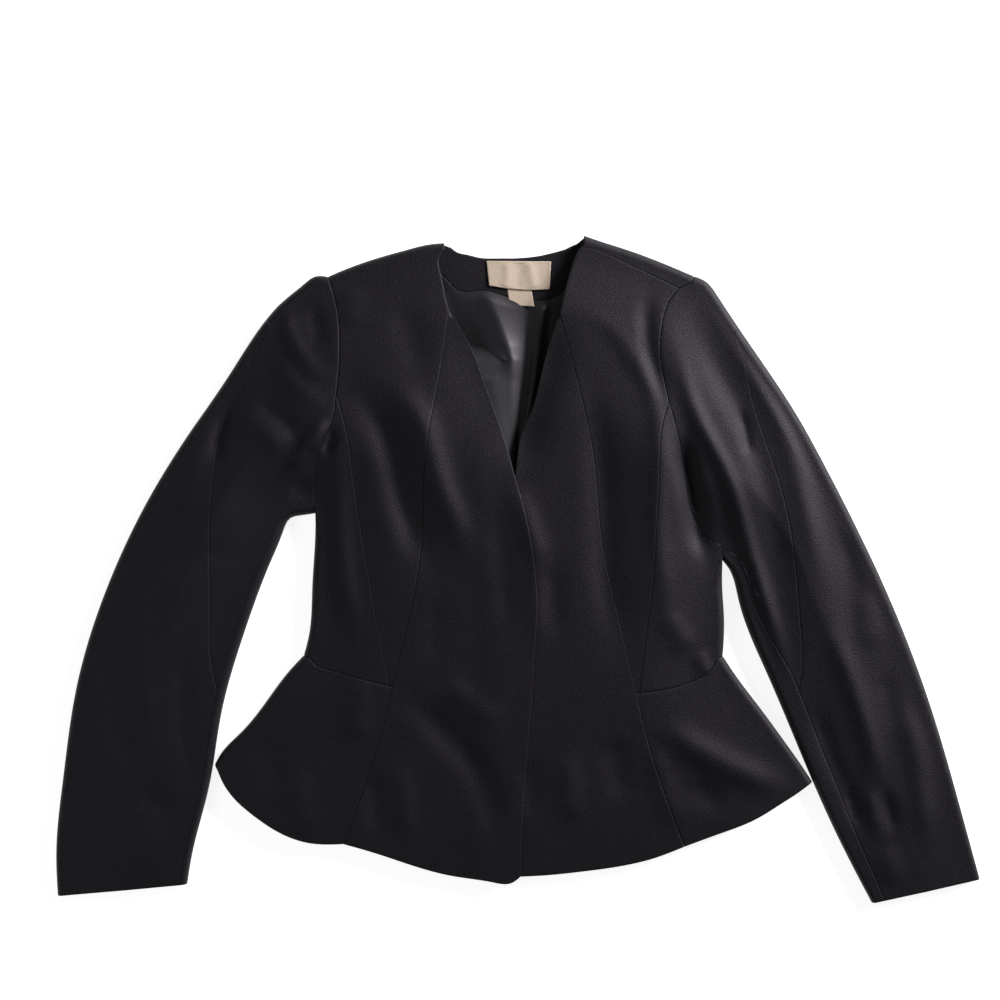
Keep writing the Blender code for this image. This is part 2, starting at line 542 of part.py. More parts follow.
# Sleeves: flattened tubes. The seam that leaves the outer fold near the head parts the wedge from the rest.
for side, sizes in SLEEVES.items():
    outer_fold, inner_fold = FOLD_LINES[f"sleeve_outer_{side}"], FOLD_LINES[f"sleeve_inner_{side}"]
    head = evenly(outer_fold, 5, 0, sizes["starts"])
    arm = evenly(outer_fold, 17, sizes["starts"], 1)
    upper = evenly(inner_fold, 5, 0, sizes["ends"])
    lower = evenly(inner_fold, 5, sizes["ends"], 1)
    armhole = seams[side]["armhole"]

    def stripped(fold, start, end):
        width = column(sizes["strip"], 1, np.linspace(start, end, len(fold)))[:, None]
        return fold[:, :2] - fold[:, 2:] * width

    seam_upper, seam_lower = stripped(upper, 0, sizes["ends"]), stripped(lower, sizes["ends"], 1)
    short = armhole.copy()
    reach = column(sizes["strip"], 1, 0) / np.hypot(*(armhole[-1] - armhole[-2]))
    short[-1] = armhole[-1] + (armhole[-2] - armhole[-1]) * reach
    seam_upper[0] = short[-1]
    crossing = line_between(f"sleeve_seam_{side}", arm[0, :2], seam_upper[-1], 12)

    # Wedge, with the first stretch of the outer fold.
    plan = blend(crossing, short, head[::-1, :2], seam_upper[::-1])
    plan = trimmed(plan, "LRB")
    grids = [standing(plan, height(plan)), turned(plan[0], head[::-1, 2:])]
    sheet(f"sleeve_wedge_{side}", grids, *CREPE)

    # Main panel, from a narrow point at the outer fold to the cuff.
    first = crossing[0] + (crossing[1] - crossing[0]) * 0.08
    started = evenly(outer_fold, 17, sizes["starts"] + 0.0025, 1)
    inner_side = joined(np.concatenate([[first], crossing[1:]]), seam_lower)
    top = evenly(np.stack([started[0, :2], first]), 5)
    cuff = evenly(np.stack([started[-1, :2], seam_lower[-1]]), 5)
    plan = trimmed(blend(started[:, :2], inner_side, top, cuff), "R")
    grids = [standing(plan, height(plan)), turned(plan[:, 0], started[:, 2:])]
    sheet(f"sleeve_outer_{side}", grids, *CREPE)

    # Under sleeve, round the inner fold and up to its seam.
    tuck = FOLD_STRIP + SEAM_GAP
    head_in, arm_in = head[:, :2] - head[:, 2:] * tuck, arm[:, :2] - arm[:, 2:] * tuck
    opening = armhole.copy()
    opening[0] = head_in[0]
    across = line_between(f"sleeve_seam_{side}", arm_in[0], upper[-1, :2], 12)
    upper_plan = blend(across, opening, head_in[::-1], upper[::-1, :2])
    shifted = trimmed(upper_plan, "R")
    long_inner = joined(across, lower[:, :2])
    lower_plan = blend(arm_in, long_inner, np.repeat(across[:1], 6, axis=0),
                       evenly(np.stack([arm_in[-1], lower[-1, :2]]), 5))
    border = joined(shifted[-1, ::-1], lower[:, :2])
    turns = joined(upper[:, 2:], lower[:, 2:])
    strip_seam = joined(seam_upper, seam_lower)
    inner_border = trimmed(np.stack([strip_seam, border]), "T")[0]
    inner_border[0] += shifted[-1, -1] - upper_plan[-1, -1]
    strip = np.stack([border, inner_border], axis=1)
    grids = [lying(shifted), lying(lower_plan), turned(border, turns, strip=0), standing(strip, height(strip))]
    sheet(f"sleeve_under_{side}", grids, *CREPE)
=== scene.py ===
"""Women's black peplum jacket, laid flat with its back down, seen from straight above."""

import bmesh
import bpy
import numpy as np
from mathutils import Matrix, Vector


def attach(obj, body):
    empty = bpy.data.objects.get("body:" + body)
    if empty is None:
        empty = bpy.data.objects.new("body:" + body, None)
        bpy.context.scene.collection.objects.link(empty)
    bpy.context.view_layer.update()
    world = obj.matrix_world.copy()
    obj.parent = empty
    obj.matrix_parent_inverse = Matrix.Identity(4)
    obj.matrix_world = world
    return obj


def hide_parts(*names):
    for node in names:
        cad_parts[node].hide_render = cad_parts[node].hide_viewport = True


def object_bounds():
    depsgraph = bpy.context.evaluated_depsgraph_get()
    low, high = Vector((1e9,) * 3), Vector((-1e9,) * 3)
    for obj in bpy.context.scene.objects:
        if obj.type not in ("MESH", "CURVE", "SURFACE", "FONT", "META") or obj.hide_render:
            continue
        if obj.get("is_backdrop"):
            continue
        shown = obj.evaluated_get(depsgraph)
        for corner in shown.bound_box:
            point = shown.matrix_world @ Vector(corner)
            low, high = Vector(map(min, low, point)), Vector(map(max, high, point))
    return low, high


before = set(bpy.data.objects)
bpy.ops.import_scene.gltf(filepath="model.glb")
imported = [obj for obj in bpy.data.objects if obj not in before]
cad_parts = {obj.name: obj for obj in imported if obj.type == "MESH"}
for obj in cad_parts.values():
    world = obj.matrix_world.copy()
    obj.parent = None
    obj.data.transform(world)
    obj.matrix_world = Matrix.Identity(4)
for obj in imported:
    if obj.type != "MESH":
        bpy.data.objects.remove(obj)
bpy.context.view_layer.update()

# Edges where the cloth folds over. The flattened jacket has a soft roll of cloth along its shoulders, its
# sides and both edges of each sleeve. Sizes are in millimetres. +X is the wearer's left and +Y the neck. Each
# outline says on which side the cloth turns, and which way it turns at the line's start and end.
TURNS = {
    "shoulder_right": (-0.35, 0.94),
    "shoulder_left": (0.35, 0.94),
    "underarm_right": (0.0, -1.0),
    "underarm_left": (0.15, -0.99),
    "waist_right": (-0.92, 0.38),
    "waist_left": (0.96, 0.29),
    "hem_right": (-0.52, 0.85),
    "hem_left": (0.83, 0.555),
    "cuff_outer_right": (-0.996, -0.089),
    "cuff_inner_right": (0.996, 0.089),
    "cuff_outer_left": (0.976, 0.219),
    "cuff_inner_left": (-0.976, -0.219),
}
OUTLINE = {
    "shoulder_right": (1, "shoulder_right", None, (
        (-180.5, 278.5), (-169, 283.5), (-136, 295.5), (-102.5, 305), (-84, 309.3), (-70, 310.5))),
    "shoulder_left": (-1, "shoulder_left", None, (
        (167, 279), (135, 292.5), (102.5, 304.5), (76, 313), (63, 317.5))),
    "sleeve_outer_right": (-1, "shoulder_right", "cuff_outer_right", (
        (-180.5, 278.5), (-192, 279), (-204, 271), (-221.5, 256.5), (-272.5, 188), (-333.5, 97),
        (-390.5, -17), (-420, -114), (-432.5, -199.5), (-439, -270), (-437.5, -309.5))),
    "sleeve_outer_left": (1, "shoulder_left", "cuff_outer_left", (
        (167, 279), (177.5, 274.5), (189, 261), (219.5, 214.5), (264, 148), (292.5, 97),
        (348.5, -17), (392.5, -131), (421, -228), (439, -293.5))),
    "sleeve_inner_right": (1, "underarm_right", "cuff_inner_right", (
        (-192, 54), (-205, 52), (-216.5, 49), (-223, 37), (-235.5, 6.5), (-261, -62.5),
        (-282, -137), (-293.5, -205), (-310.5, -273.5), (-314.5, -298.5))),
    "sleeve_inner_left": (-1, "underarm_left", "cuff_inner_left", (
        (194, 9.5), (200.5, 1), (209, -26.5), (235.5, -96), (267, -170), (305, -255.5), (336.5, -316.5))),
    "side_right": (-1, "underarm_right", "waist_right", (
        (-192, 54), (-193, 24), (-195.5, -17), (-198.5, -61), (-203.5, -81))),
    "side_left": (1, "underarm_left", "waist_left", (
        (194, 9.5), (194, -17), (195.5, -40), (195.5, -66.5), (194.5, -81.5))),
    "peplum_right": (-1, "waist_right", "hem_right", (
        (-203.5, -81), (-217.5, -96), (-237.5, -122.5), (-263, -154), (-282, -174), (-288, -184.5))),
    "peplum_left": (1, "waist_left", "hem_left", (
        (194.5, -81.5), (206, -99), (230, -131), (254.5, -164.5), (268, -183.5), (279.5, -201))),
}
# Radius of the roll, by height up the jacket, and how far the turn at a corner blends into the edge.
FOLD_RADIUS = ((-320, 4.8), (-250, 5.4), (-120, 6.4), (0, 7.0), (330, 7.0))
TURN_BLEND = 35.0


def smooth(share):
    """An even start and end between nought and one."""
    share = np.clip(share, 0.0, 1.0)
    return share * share * (3 - 2 * share)


def column(table, at, where):
    """The table's column at these places of its first one."""
    rows = np.array(table, float)
    return np.interp(where, rows[:, 0], rows[:, at])


def evenly(line, count, start=0.0, end=1.0):
    """The line from one share of its length to another, in count even steps."""
    length = np.concatenate([[0], np.cumsum(np.hypot(*np.diff(line[:, :2], axis=0).T))])
    where = np.linspace(start, end, count + 1) * length[-1]
    return np.stack([np.interp(where, length, line[:, i]) for i in range(line.shape[1])], axis=1)


def curve(points, count=900):
    """A natural cubic through the points, as an even run of count steps."""
    points = np.array(points, float)
    stations = np.concatenate([[0], np.cumsum(np.hypot(*np.diff(points, axis=0).T))])
    last = len(points) - 1
    if last == 1:
        return evenly(points, count)
    step = np.diff(stations)
    system = np.eye(last + 1)
    right = np.zeros((last + 1, 2))
    slopes = np.diff(points, axis=0) / step[:, None]
    for i in range(1, last):
        system[i, i - 1:i + 2] = step[i - 1], 2 * (step[i - 1] + step[i]), step[i]
        right[i] = 6 * (slopes[i] - slopes[i - 1])
    bend = np.linalg.solve(system, right)
    where = np.linspace(0, stations[-1], 2000)
    i = np.clip(np.searchsorted(stations, where) - 1, 0, last - 1)
    width = step[i][:, None]
    after = (where - stations[i])[:, None] / width
    before = 1 - after
    fine = before * points[i] + after * points[i + 1] + (
        (before**3 - before) * bend[i] + (after**3 - after) * bend[i + 1]) * width**2 / 6
    return evenly(fine, count)


def unit(vectors):
    """Each of the plan's directions at length one."""
    return vectors / np.hypot(vectors[:, 0], vectors[:, 1])[:, None]


def edge_fold(outward, start_turn, end_turn, points):
    """x, y of the fold line, one radius inside the outline, and the direction in which the cloth turns."""
    line = curve(points)
    along = unit(np.gradient(line, axis=0))
    turn = outward * np.stack([-along[:, 1], along[:, 0]], axis=1)
    travelled = np.linspace(0, 1, len(line)) * np.hypot(*np.diff(line, axis=0).T).sum()
    for name, distance in ((start_turn, travelled), (end_turn, travelled[-1] - travelled)):
        if name:
            share = 1 - smooth(distance / TURN_BLEND)
            turn = unit(turn * (1 - share)[:, None] + np.array(TURNS[name]) * share[:, None])
    radius = column(FOLD_RADIUS, 1, line[:, 1])
    return np.concatenate([line - turn * radius[:, None], turn], axis=1)


fold_lines = {name: edge_fold(*row) for name, row in OUTLINE.items()}
all_folds = np.concatenate([line[::5, :2] for line in fold_lines.values()])

# The jacket's top surface. Its fullness at the bust and the hand-laid creases of the cloth are the same
# heights for every panel, so that the seams meet: rise and width of each crease, then the line it follows.
# LOFT is its rise over the folded edges, by height up the jacket, and BUST holds x, y, rise and spread.
LOFT = ((-320, 1.0), (-250, 2.0), (-150, 4.0), (-60, 5.5), (40, 8.0), (150, 9.5), (250, 7.5), (330, 5.0))
BUST = ((-98, 128, 3.5, 52), (114, 124, 3.6, 46))
LOFT_REACH, BUST_REACH, CREASE_REACH = 75, 45, 15
EDGE_CREASE = 0.3
LOWEST_TOP = 4.0
CREASES = {
    "neckline_right": (-2.4, 26, ((-65, 244), (-36, 195), (-3, 88))),
    "neckline_left": (-4.6, 18, ((39, 242), (17, 166), (-3, 88))),
    "bust_trough_right": (-5.0, 14, ((-160, 173), (-127, 133), (-114, 86), (-99, 38), (-78, -2))),
    "bust_ridge_right": (4.6, 13, ((-127, 180), (-93, 142), (-78, 95), (-60, 48), (-44, 5))),
    "side_ridge_right": (3.2, 11, ((-173, 147), (-169, 66), (-162, -19), (-148, -76))),
    "shoulder_fall_right": (-1.6, 15, ((-114, 256), (-99, 214), (-89, 180))),
    "shoulder_light_right": (1.3, 15, ((-160, 271), (-158, 228))),
    "closing_trough": (-1.7, 11, ((-23, 66), (-15, 10), (-10, -66))),
    "closing_ridge": (1.2, 9, ((5, 66), (16, 0), (17, -76))),
    "waist_fall_right": (-1.2, 12, ((-74, -28), (-82, -86))),
    "bust_ridge_left": (1.9, 9, ((48, 247), (82, 234), (104, 207), (122, 179), (131, 142), (133, 86),
        (132, 28), (139, -24), (139, -66))),
    "bust_swell_left": (4.2, 26, ((125, 163), (131, 124), (132, 76), (132, 28), (134, -19), (139, -66))),
    "princess_trough_left": (-3.4, 14, ((66, 176), (75, 124), (80, 66), (86, -28), (99, -81))),
    "armhole_trough_left": (-6.5, 9, ((150, 135), (160, 86), (169, 38), (180, 5))),
    "vee_fall_left": (2.2, 11, ((-10, 87), (8, 48), (26, -5))),
    "side_light_left": (2.0, 11, ((139, -38), (163, -78))),
    "front_dip_left": (-1.4, 10, ((32, 10), (36, -66))),
    "peplum_trough_right": (-3.2, 13, ((-112, -114), (-87, -135), (-65, -158), (-42, -184),
        (-27, -223), (-21, -268))),
    "peplum_ridge_right": (2.0, 12, ((-74, -101), (-46, -124), (-17, -150))),
    "peplum_dip_right": (-2.2, 9, ((-137, -190), (-133, -252))),
    "peplum_small_ridge_right": (2.0, 10, ((-112, -180), (-104, -261))),
    "peplum_flute_right": (2.4, 13, ((-211, -190), (-200, -253))),
    "peplum_top_right": (2.2, 14, ((-148, -97), (-156, -166))),
    "peplum_side_right": (-1.4, 13, ((-243, -157), (-222, -218))),
    "peplum_ridge_left": (4.0, 13, ((127, -144), (173, -171), (218, -194), (260, -209))),
    "peplum_trough_left": (-2.0, 12, ((163, -201), (194, -226))),
    "peplum_wave_left": (2.0, 12, ((127, -157), (141, -214), (156, -249))),
    "peplum_dip_left": (-2.0, 13, ((89, -157), (99, -218))),
    "front_flute_left": (2.0, 12, ((46, -171), (51, -242))),
    "front_dip_low_left": (-1.6, 11, ((11, -176), (14, -238))),
    "waist_light_left": (1.8, 8, ((171, -76), (179, -101))),
    "sleeve_head_right": (2.2, 8, ((-226, 256), (-209, 211), (-182, 176))),
    "sleeve_head_dip_right": (-1.6, 8, ((-195, 252), (-186, 207))),
    "sleeve_fall_right": (2.2, 10, ((-230, 198), (-205, 169), (-180, 152))),
    "sleeve_dip_right": (-2.6, 8, ((-249, 163), (-218, 139), (-201, 116))),
    "sleeve_ridge_right": (1.7, 8, ((-268, 145), (-243, 133), (-221, 106))),
    "sleeve_crease_right": (-2.4, 7, ((-272, 157), (-282, 133), (-285, 95))),
    "sleeve_outer_light_right": (1.8, 12, ((-297, 162), (-306, 114), (-310, 48))),
    "pucker_ridge_right": (5.4, 6, ((-181, 148), (-192, 124), (-204, 107), (-217, 94))),
    "pucker_gap_right": (-4.0, 5.5, ((-171, 135), (-182, 108))),
    "pucker_low_right": (-2.4, 4, ((-192, 118), (-203, 97))),
    "underarm_pocket_right": (-2.0, 7, ((-207, 87), (-201, 65))),
    "elbow_crease_right": (-1.2, 9, ((-268, 28), (-306, 10), (-340, 4))),
    "elbow_ridge_right": (1.2, 14, ((-350, 10), (-359, -66), (-350, -142), (-331, -218))),
    "elbow_dip_right": (-1.5, 13, ((-386, -66), (-376, -142), (-353, -209))),
    "forearm_dip_right": (-1.6, 11, ((-359, -209), (-325, -233))),
    "forearm_ridge_right": (1.5, 13, ((-340, -238), (-350, -294))),
    "forearm_edge_right": (-1.2, 8, ((-315, -66), (-317, -142), (-310, -209))),
    "sleeve_ridge_left": (4.0, 8, ((144, 222), (154, 192), (162, 160), (177, 127), (198, 87),
        (213, 38), (230, -19), (246, -69), (258, -114))),
    "sleeve_trough_left": (-3.0, 13, ((162, 251), (179, 209), (200, 169), (220, 124), (236, 66),
        (248, 10), (256, -38))),
    "sleeve_pocket_left": (-4.0, 8, ((156, 127), (163, 86), (177, 40))),
    "armhole_dip_left": (-2.8, 8, ((124, 266), (121, 228), (129, 188), (139, 152))),
    "sleeve_outer_ridge_left": (3.4, 12, ((175, 270), (196, 239), (213, 211), (235, 169), (255, 122),
        (268, 74), (282, 10), (291, -38))),
    "sleeve_fork_left": (-2.2, 5, ((209, 154), (215, 129), (218, 106))),
    "elbow_fall_left": (-1.6, 12, ((306, 48), (315, -10), (315, -66))),
    "elbow_light_left": (1.5, 12, ((323, -19), (338, -76))),
    "forearm_ridge_left": (2.6, 10, ((291, -43), (314, -104), (332, -162), (340, -211))),
    "forearm_dip_left": (-2.0, 9, ((279, -124), (298, -180), (313, -218))),
    "forearm_fold_left": (-2.6, 7, ((313, -204), (322, -243))),
    "cuff_ridge_left": (2.4, 7, ((333, -207), (338, -249))),
    "cuff_fold_left": (-2.6, 7, ((348, -209), (356, -249))),
    "outer_ridge_left": (2.6, 11, ((353, -114), (376, -171), (382, -218), (390, -266))),
    "outer_dip_left": (-1.4, 10, ((344, -95), (359, -152))),
    "cuff_rise_left": (2.2, 12, ((348, -262), (356, -298))),
}


def beside(points, path):
    """Distance from each point to the path, and the share of the path's steps passed there."""
    nearest, share = np.full(len(points), np.inf), np.zeros(len(points))
    for step, (a, b) in enumerate(zip(path[:-1], path[1:])):
        along = np.clip(((points - a) @ (b - a)) / ((b - a) @ (b - a)), 0, 1)
        away = np.hypot(*(points - a - along[:, None] * (b - a)).T)
        closer = away < nearest
        nearest[closer] = away[closer]
        share[closer] = (step + along[closer]) / (len(path) - 1)
    return nearest, share


def rises(points, creases, fade=0.3):
    """Sum of the creases at these points. Each one fades away over this share of its length at both ends."""
    total = np.zeros(len(points))
    for rise, width, line in creases.values():
        path = curve(line, 16)
        low, high = path.min(axis=0) - 3 * width, path.max(axis=0) + 3 * width
        near = ((points > low) & (points < high)).all(axis=1)
        away, share = beside(points[near], path)
        ends = 0.12 + 0.88 * smooth(np.minimum(share, 1 - share) / fade)
        total[near] += rise * ends * np.exp(-((away / width) ** 2))
    return total


def nearest_gap(points, line):
    """Distance from each point to the nearest point of the line, worked out in blocks to save memory."""
    gaps = np.empty(len(points))
    for start in range(0, len(points), 2000):
        block = points[start:start + 2000, None] - line[None]
        gaps[start:start + 2000] = np.sqrt((block**2).sum(axis=2).min(axis=1))
    return gaps


def height(plan):
    """Height of the jacket's top surface over each x, y."""
    points = plan.reshape(-1, 2)
    inside = nearest_gap(points, all_folds)
    top = 2 * column(FOLD_RADIUS, 1, points[:, 1])
    top += column(LOFT, 1, points[:, 1]) * smooth(inside / LOFT_REACH)
    for x, y, rise, spread in BUST:
        away = ((points[:, 0] - x) ** 2 + (points[:, 1] - y) ** 2) / spread**2
        top += rise * np.exp(-away) * smooth(inside / BUST_REACH)
    top += rises(points, CREASES) * (EDGE_CREASE + (1 - EDGE_CREASE) * smooth(inside / CREASE_REACH))
    return np.maximum(top, LOWEST_TOP).reshape(plan.shape[:-1])


# The two fronts. Each is one long panel of black crepe from the neckline to the hem. The wearer's right
# front lies on top along the closing edge, and the left one runs on under it. No fastening shows.
THIN = 1.1
UNDERLAP = 27.0
LIFT, LIFT_FADE = 1.7, 34
# How a border sinks: distance from it and drop, at a seam and at a turned edge.
SEAM = ((0.04, 0.6), (0.3, 0.28), (0.8, 0.08), (1.9, 0.0))
EDGE = ((0.0, 0.5), (0.3, 0.18), (0.8, 0.04), (1.8, 0.0))
LINES = {
    "vee_right": ((-63.2, 241.6), (-45.5, 212), (-29.5, 171), (-14, 128), (-3, 88.5)),
    "vee_left": ((38.2, 239.1), (24, 194), (10.5, 146.5), (3, 130), (-0.5, 112), (-3, 88.5)),
    "closing_edge": ((-3, 88.5), (5.5, 59), (12.5, 25.5), (17, -9.5), (18, -28.5), (16, -69.5),
                     (13.5, -112), (8.5, -177.5), (5, -224), (3, -264), (2, -290.5)),
    "princess_up_right": ((-65, 244), (-75, 178.5), (-87.5, 102.5), (-89.5, 57), (-96, -9.5),
                          (-112, -81.5), (-119, -110)),
    "princess_low_right": ((-119, -110), (-128, -148), (-139.5, -185), (-152, -223), (-165.5, -259.5)),
    "princess_up_left": ((39, 242), (57, 173), (72.5, 98), (79, 28.5), (94, -42), (111.8, -116)),
    "princess_low_left": ((111.8, -116), (127.5, -178.5), (147, -234.5), (157.5, -262)),
    "hem_front_right": ((-165.5, -259.5), (-136, -268), (-101.5, -279.5), (-59, -290.5), (-24.5, -295.5),
                        (-6.5, -296.5), (2, -290.5)),
    "hem_front_left": ((3, -290.5), (24, -289.5), (59, -286), (95, -281), (129, -273), (157.5, -262)),
}


def line_between(name, start=None, end=None, count=1):
    """One of the seam lines with its open ends set, in count steps."""
    points = list(LINES[name])
    if points[0] is None:
        points[0] = tuple(start)
    if points[-1] is None:
        points[-1] = tuple(end)
    return evenly(curve(points), count)


def joined(*lines):
    """Lines end to end, with the points where they meet kept once."""
    return np.concatenate([lines[0]] + [line[1:] for line in lines[1:]])


def blend(left, right, top, bottom):
    """Plan between four sides: rows run from left to right, and the first row is the top."""
    rows, columns = len(left) - 1, len(top) - 1
    down = np.linspace(0, 1, rows + 1)[:, None, None]
    across = np.linspace(0, 1, columns + 1)[None, :, None]
    sides = (1 - across) * left[:, None] + across * right[:, None]
    ends = (1 - down) * top[None] + down * bottom[None]
    corners = ((1 - down) * ((1 - across) * top[0] + across * top[-1])
               + down * ((1 - across) * bottom[0] + across * bottom[-1]))
    return sides + ends - corners


def sunk(plan, left=None, right=None, top=None, bottom=None):
    """The plan with close rows added at the named borders, and how far each point sinks there."""
    drop = np.zeros(plan.shape[:2])
    plan, drop = sink_first(plan, drop, left)
    plan, drop = (part[:, ::-1] for part in sink_first(plan[:, ::-1], drop[:, ::-1], right))
    plan, drop = (part.swapaxes(0, 1) for part in sink_first(plan.swapaxes(0, 1), drop.T, top))
    turned_plan, turned_drop = plan[::-1].swapaxes(0, 1), drop[::-1].T
    plan, drop = (part.swapaxes(0, 1)[::-1] for part in sink_first(turned_plan, turned_drop, bottom))
    return plan, drop


def sink_first(plan, drop, profile):
    """Adds the profile's close columns beside the first one."""
    if profile is None:
        return plan, drop
    first, second = plan[:, :1], plan[:, 1:2]
    step = np.linalg.norm(second - first, axis=2, keepdims=True) + 1e-9
    reach = np.minimum(1.0, 0.8 * step / profile[-1][0])
    added = [first + (second - first) / step * distance * reach for distance, _ in profile]
    drops = [np.maximum(drop[:, :1], fall * np.clip(reach[:, :, 0], 0.2, 1)) for _, fall in profile]
    return np.concatenate([*added, plan[:, 1:]], axis=1), np.concatenate([*drops, drop[:, 1:]], axis=1)


def standing(plan, drop, rise=0.0):
    """Outer and inner points of the top layer."""
    top = (height(plan) + rise - drop)[..., None]
    return np.concatenate([plan, top], axis=-1), np.concatenate([plan, top - THIN], axis=-1)


def lying(plan, drop):
    """Outer and inner points of the layer that rests on the surface."""
    low = drop[..., None]
    return np.concatenate([plan, low], axis=-1), np.concatenate([plan, low + THIN], axis=-1)


def turned(border, drop, fold, strip=0.0):
    """Outer and inner points from the top layer's border, round the edge fold, and on underneath."""
    line = fold_lines[fold]
    near = np.array([np.argmin(((line[:, :2] - point) ** 2).sum(axis=1)) for point in border])
    turn = line[near, 2:]
    middle = (height(border) / 2)[:, None]
    radius = middle - drop[:, None]
    outer, inner = [], []
    for angle in np.linspace(0, np.pi, 15):
        for wall, points in ((radius, outer), (radius - THIN, inner)):
            plan = border + turn * wall * np.sin(angle)
            points.append(np.concatenate([plan, middle + wall * np.cos(angle)], axis=1))
    outer, inner = np.stack(outer, axis=1), np.stack(inner, axis=1)
    if strip:
        under = np.stack([border - turn * strip * share for share in (0, 0.5, 0.8, 1)], axis=1)
        sinks = np.maximum(drop[:, None], np.array([0, 0.1, 0.4, 0.8])[None])
        more = lying(under, sinks)
        outer = np.concatenate([outer, more[0][:, 1:]], axis=1)
        inner = np.concatenate([inner, more[1][:, 1:]], axis=1)
    return outer, inner


def sewn(name, grids, material, node):
    """One thin shell from grids of outer and inner points that share their borders."""
    index, outer, inner, faces = {}, [], [], []
    for grid_outer, grid_inner in grids:
        keys = np.round(grid_outer.reshape(-1, 3), 2)
        ids = np.empty(len(keys), int)
        walls = zip(grid_outer.reshape(-1, 3), grid_inner.reshape(-1, 3))
        for place, (key, (out, back)) in enumerate(zip(map(tuple, keys), walls)):
            if key not in index:
                index[key] = len(outer)
                outer.append(out)
                inner.append(back)
            ids[place] = index[key]
        ids = ids.reshape(grid_outer.shape[:2])
        for row in range(ids.shape[0] - 1):
            for step in range(ids.shape[1] - 1):
                ring = (ids[row, step], ids[row + 1, step], ids[row + 1, step + 1], ids[row, step + 1])
                ring = [int(v) for v, after in zip(ring, ring[1:] + ring[:1]) if v != after]
                if len(ring) > 2 and len(set(ring)) == len(ring):
                    faces.append(ring)
    mesh = bmesh.new()
    top = [mesh.verts.new(point / 1000) for point in outer]
    base = [mesh.verts.new(point / 1000) for point in inner]
    for ring in faces:
        mesh.faces.new([top[v] for v in ring])
    bmesh.ops.recalc_face_normals(mesh, faces=mesh.faces[:])
    mesh.verts.index_update()
    drawn = [[v.index for v in face.verts] for face in mesh.faces]
    for ring in drawn:
        mesh.faces.new([base[v] for v in reversed(ring)])
    rims = [edge for edge in mesh.edges if len(edge.link_faces) == 1 and edge.verts[0].index < len(top)]
    for edge in rims:
        a, b = (v.index for v in edge.verts)
        mesh.faces.new([top[a], top[b], base[b], base[a]])
    bmesh.ops.recalc_face_normals(mesh, faces=mesh.faces[:])
    if mesh.calc_volume(signed=True) < 0:
        bmesh.ops.reverse_faces(mesh, faces=mesh.faces[:])
    for face in mesh.faces:
        face.smooth = True
    data = bpy.data.meshes.new(name)
    mesh.to_mesh(data)
    mesh.free()
    data.materials.append(material)
    piece = bpy.data.objects.new(name, data)
    bpy.context.scene.collection.objects.link(piece)
    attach(piece, "root")
    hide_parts(node)


def add_node(tree, kind, inputs=(), **settings):
    """A new node with these settings. Each of its inputs is given a value, or a socket to be linked to."""
    made = tree.nodes.new(kind)
    for name, value in settings.items():
        setattr(made, name, value)
    for name, value in dict(inputs).items():
        if isinstance(value, bpy.types.NodeSocket):
            tree.links.new(value, made.inputs[name])
        else:
            made.inputs[name].default_value = value
    return made


def weave_height(name, grain, stretch):
    """Shared bump of a cloth: an irregular grain of this size in metres, drawn out by stretch along Y."""
    tree = bpy.data.node_groups.new(name, "ShaderNodeTree")
    tree.interface.new_socket("Height", in_out="OUTPUT", socket_type="NodeSocketFloat")
    place = add_node(tree, "ShaderNodeTexCoord").outputs["Object"]
    drawn = add_node(tree, "ShaderNodeMapping", {"Vector": place, "Scale": (1, 1 / stretch, 1)})
    noise = add_node(tree, "ShaderNodeTexNoise", {
        "Vector": drawn.outputs["Vector"], "Scale": 1 / grain, "Detail": 3.0, "Roughness": 0.65})
    add_node(tree, "NodeGroupOutput", {"Height": noise.outputs["Fac"]})
    return tree


def cloth_finish(name, colour, roughness, specular, weave, bump, variation, speckle, tint=(1.0, 1.0, 1.0)):
    """Cloth with a grained bump, a soft uneven shade, and a speckle where the grain is high."""
    material = bpy.data.materials.new(name)
    material.use_nodes = True
    tree = material.node_tree
    grain = add_node(tree, "ShaderNodeGroup", node_tree=weave).outputs["Height"]
    raised = add_node(tree, "ShaderNodeBump", {"Strength": bump, "Distance": 0.0006, "Height": grain})
    place = add_node(tree, "ShaderNodeTexCoord").outputs["Object"]
    cloud = add_node(tree, "ShaderNodeTexNoise", {"Vector": place, "Scale": 28.0, "Detail": 6.0})
    dark = (*[v * (1 - variation) for v in colour], 1)
    light = (*[min(1.0, v * (1 + variation)) for v in colour], 1)
    shade = add_node(tree, "ShaderNodeMix", {
        "A": dark, "B": light, "Factor": cloud.outputs["Fac"]}, data_type="RGBA")
    high = add_node(tree, "ShaderNodeMapRange", {
        "Value": grain, "From Min": 0.35, "From Max": 0.65, "To Min": 1 - speckle, "To Max": 1 + speckle})
    flecked = add_node(tree, "ShaderNodeMix", {
        "A": shade.outputs["Result"], "B": high.outputs["Result"], "Factor": 1.0},
        data_type="RGBA", blend_type="MULTIPLY")
    shader = tree.nodes["Principled BSDF"].inputs
    shader["Roughness"].default_value = roughness
    shader["Specular IOR Level"].default_value = specular
    shader["Specular Tint"].default_value = (*tint, 1)
    tree.links.new(raised.outputs["Normal"], shader["Normal"])
    tree.links.new(flecked.outputs["Result"], shader["Base Color"])
    return material


crepe_weave = weave_height("crepe grain", 0.0012, 1.2)
NIGHT_TINT = (0.98, 0.91, 1.0)
crepe = cloth_finish("black crepe", (0.0068, 0.0058, 0.0082), roughness=0.57, specular=0.34,
                     weave=crepe_weave, bump=0.8, variation=0.3, speckle=0.6, tint=NIGHT_TINT)

# Steps of a panel's grid to each step of its plan.
FINE = 6
closing_line = curve(LINES["closing_edge"])
closing = evenly(closing_line, 11 * FINE)


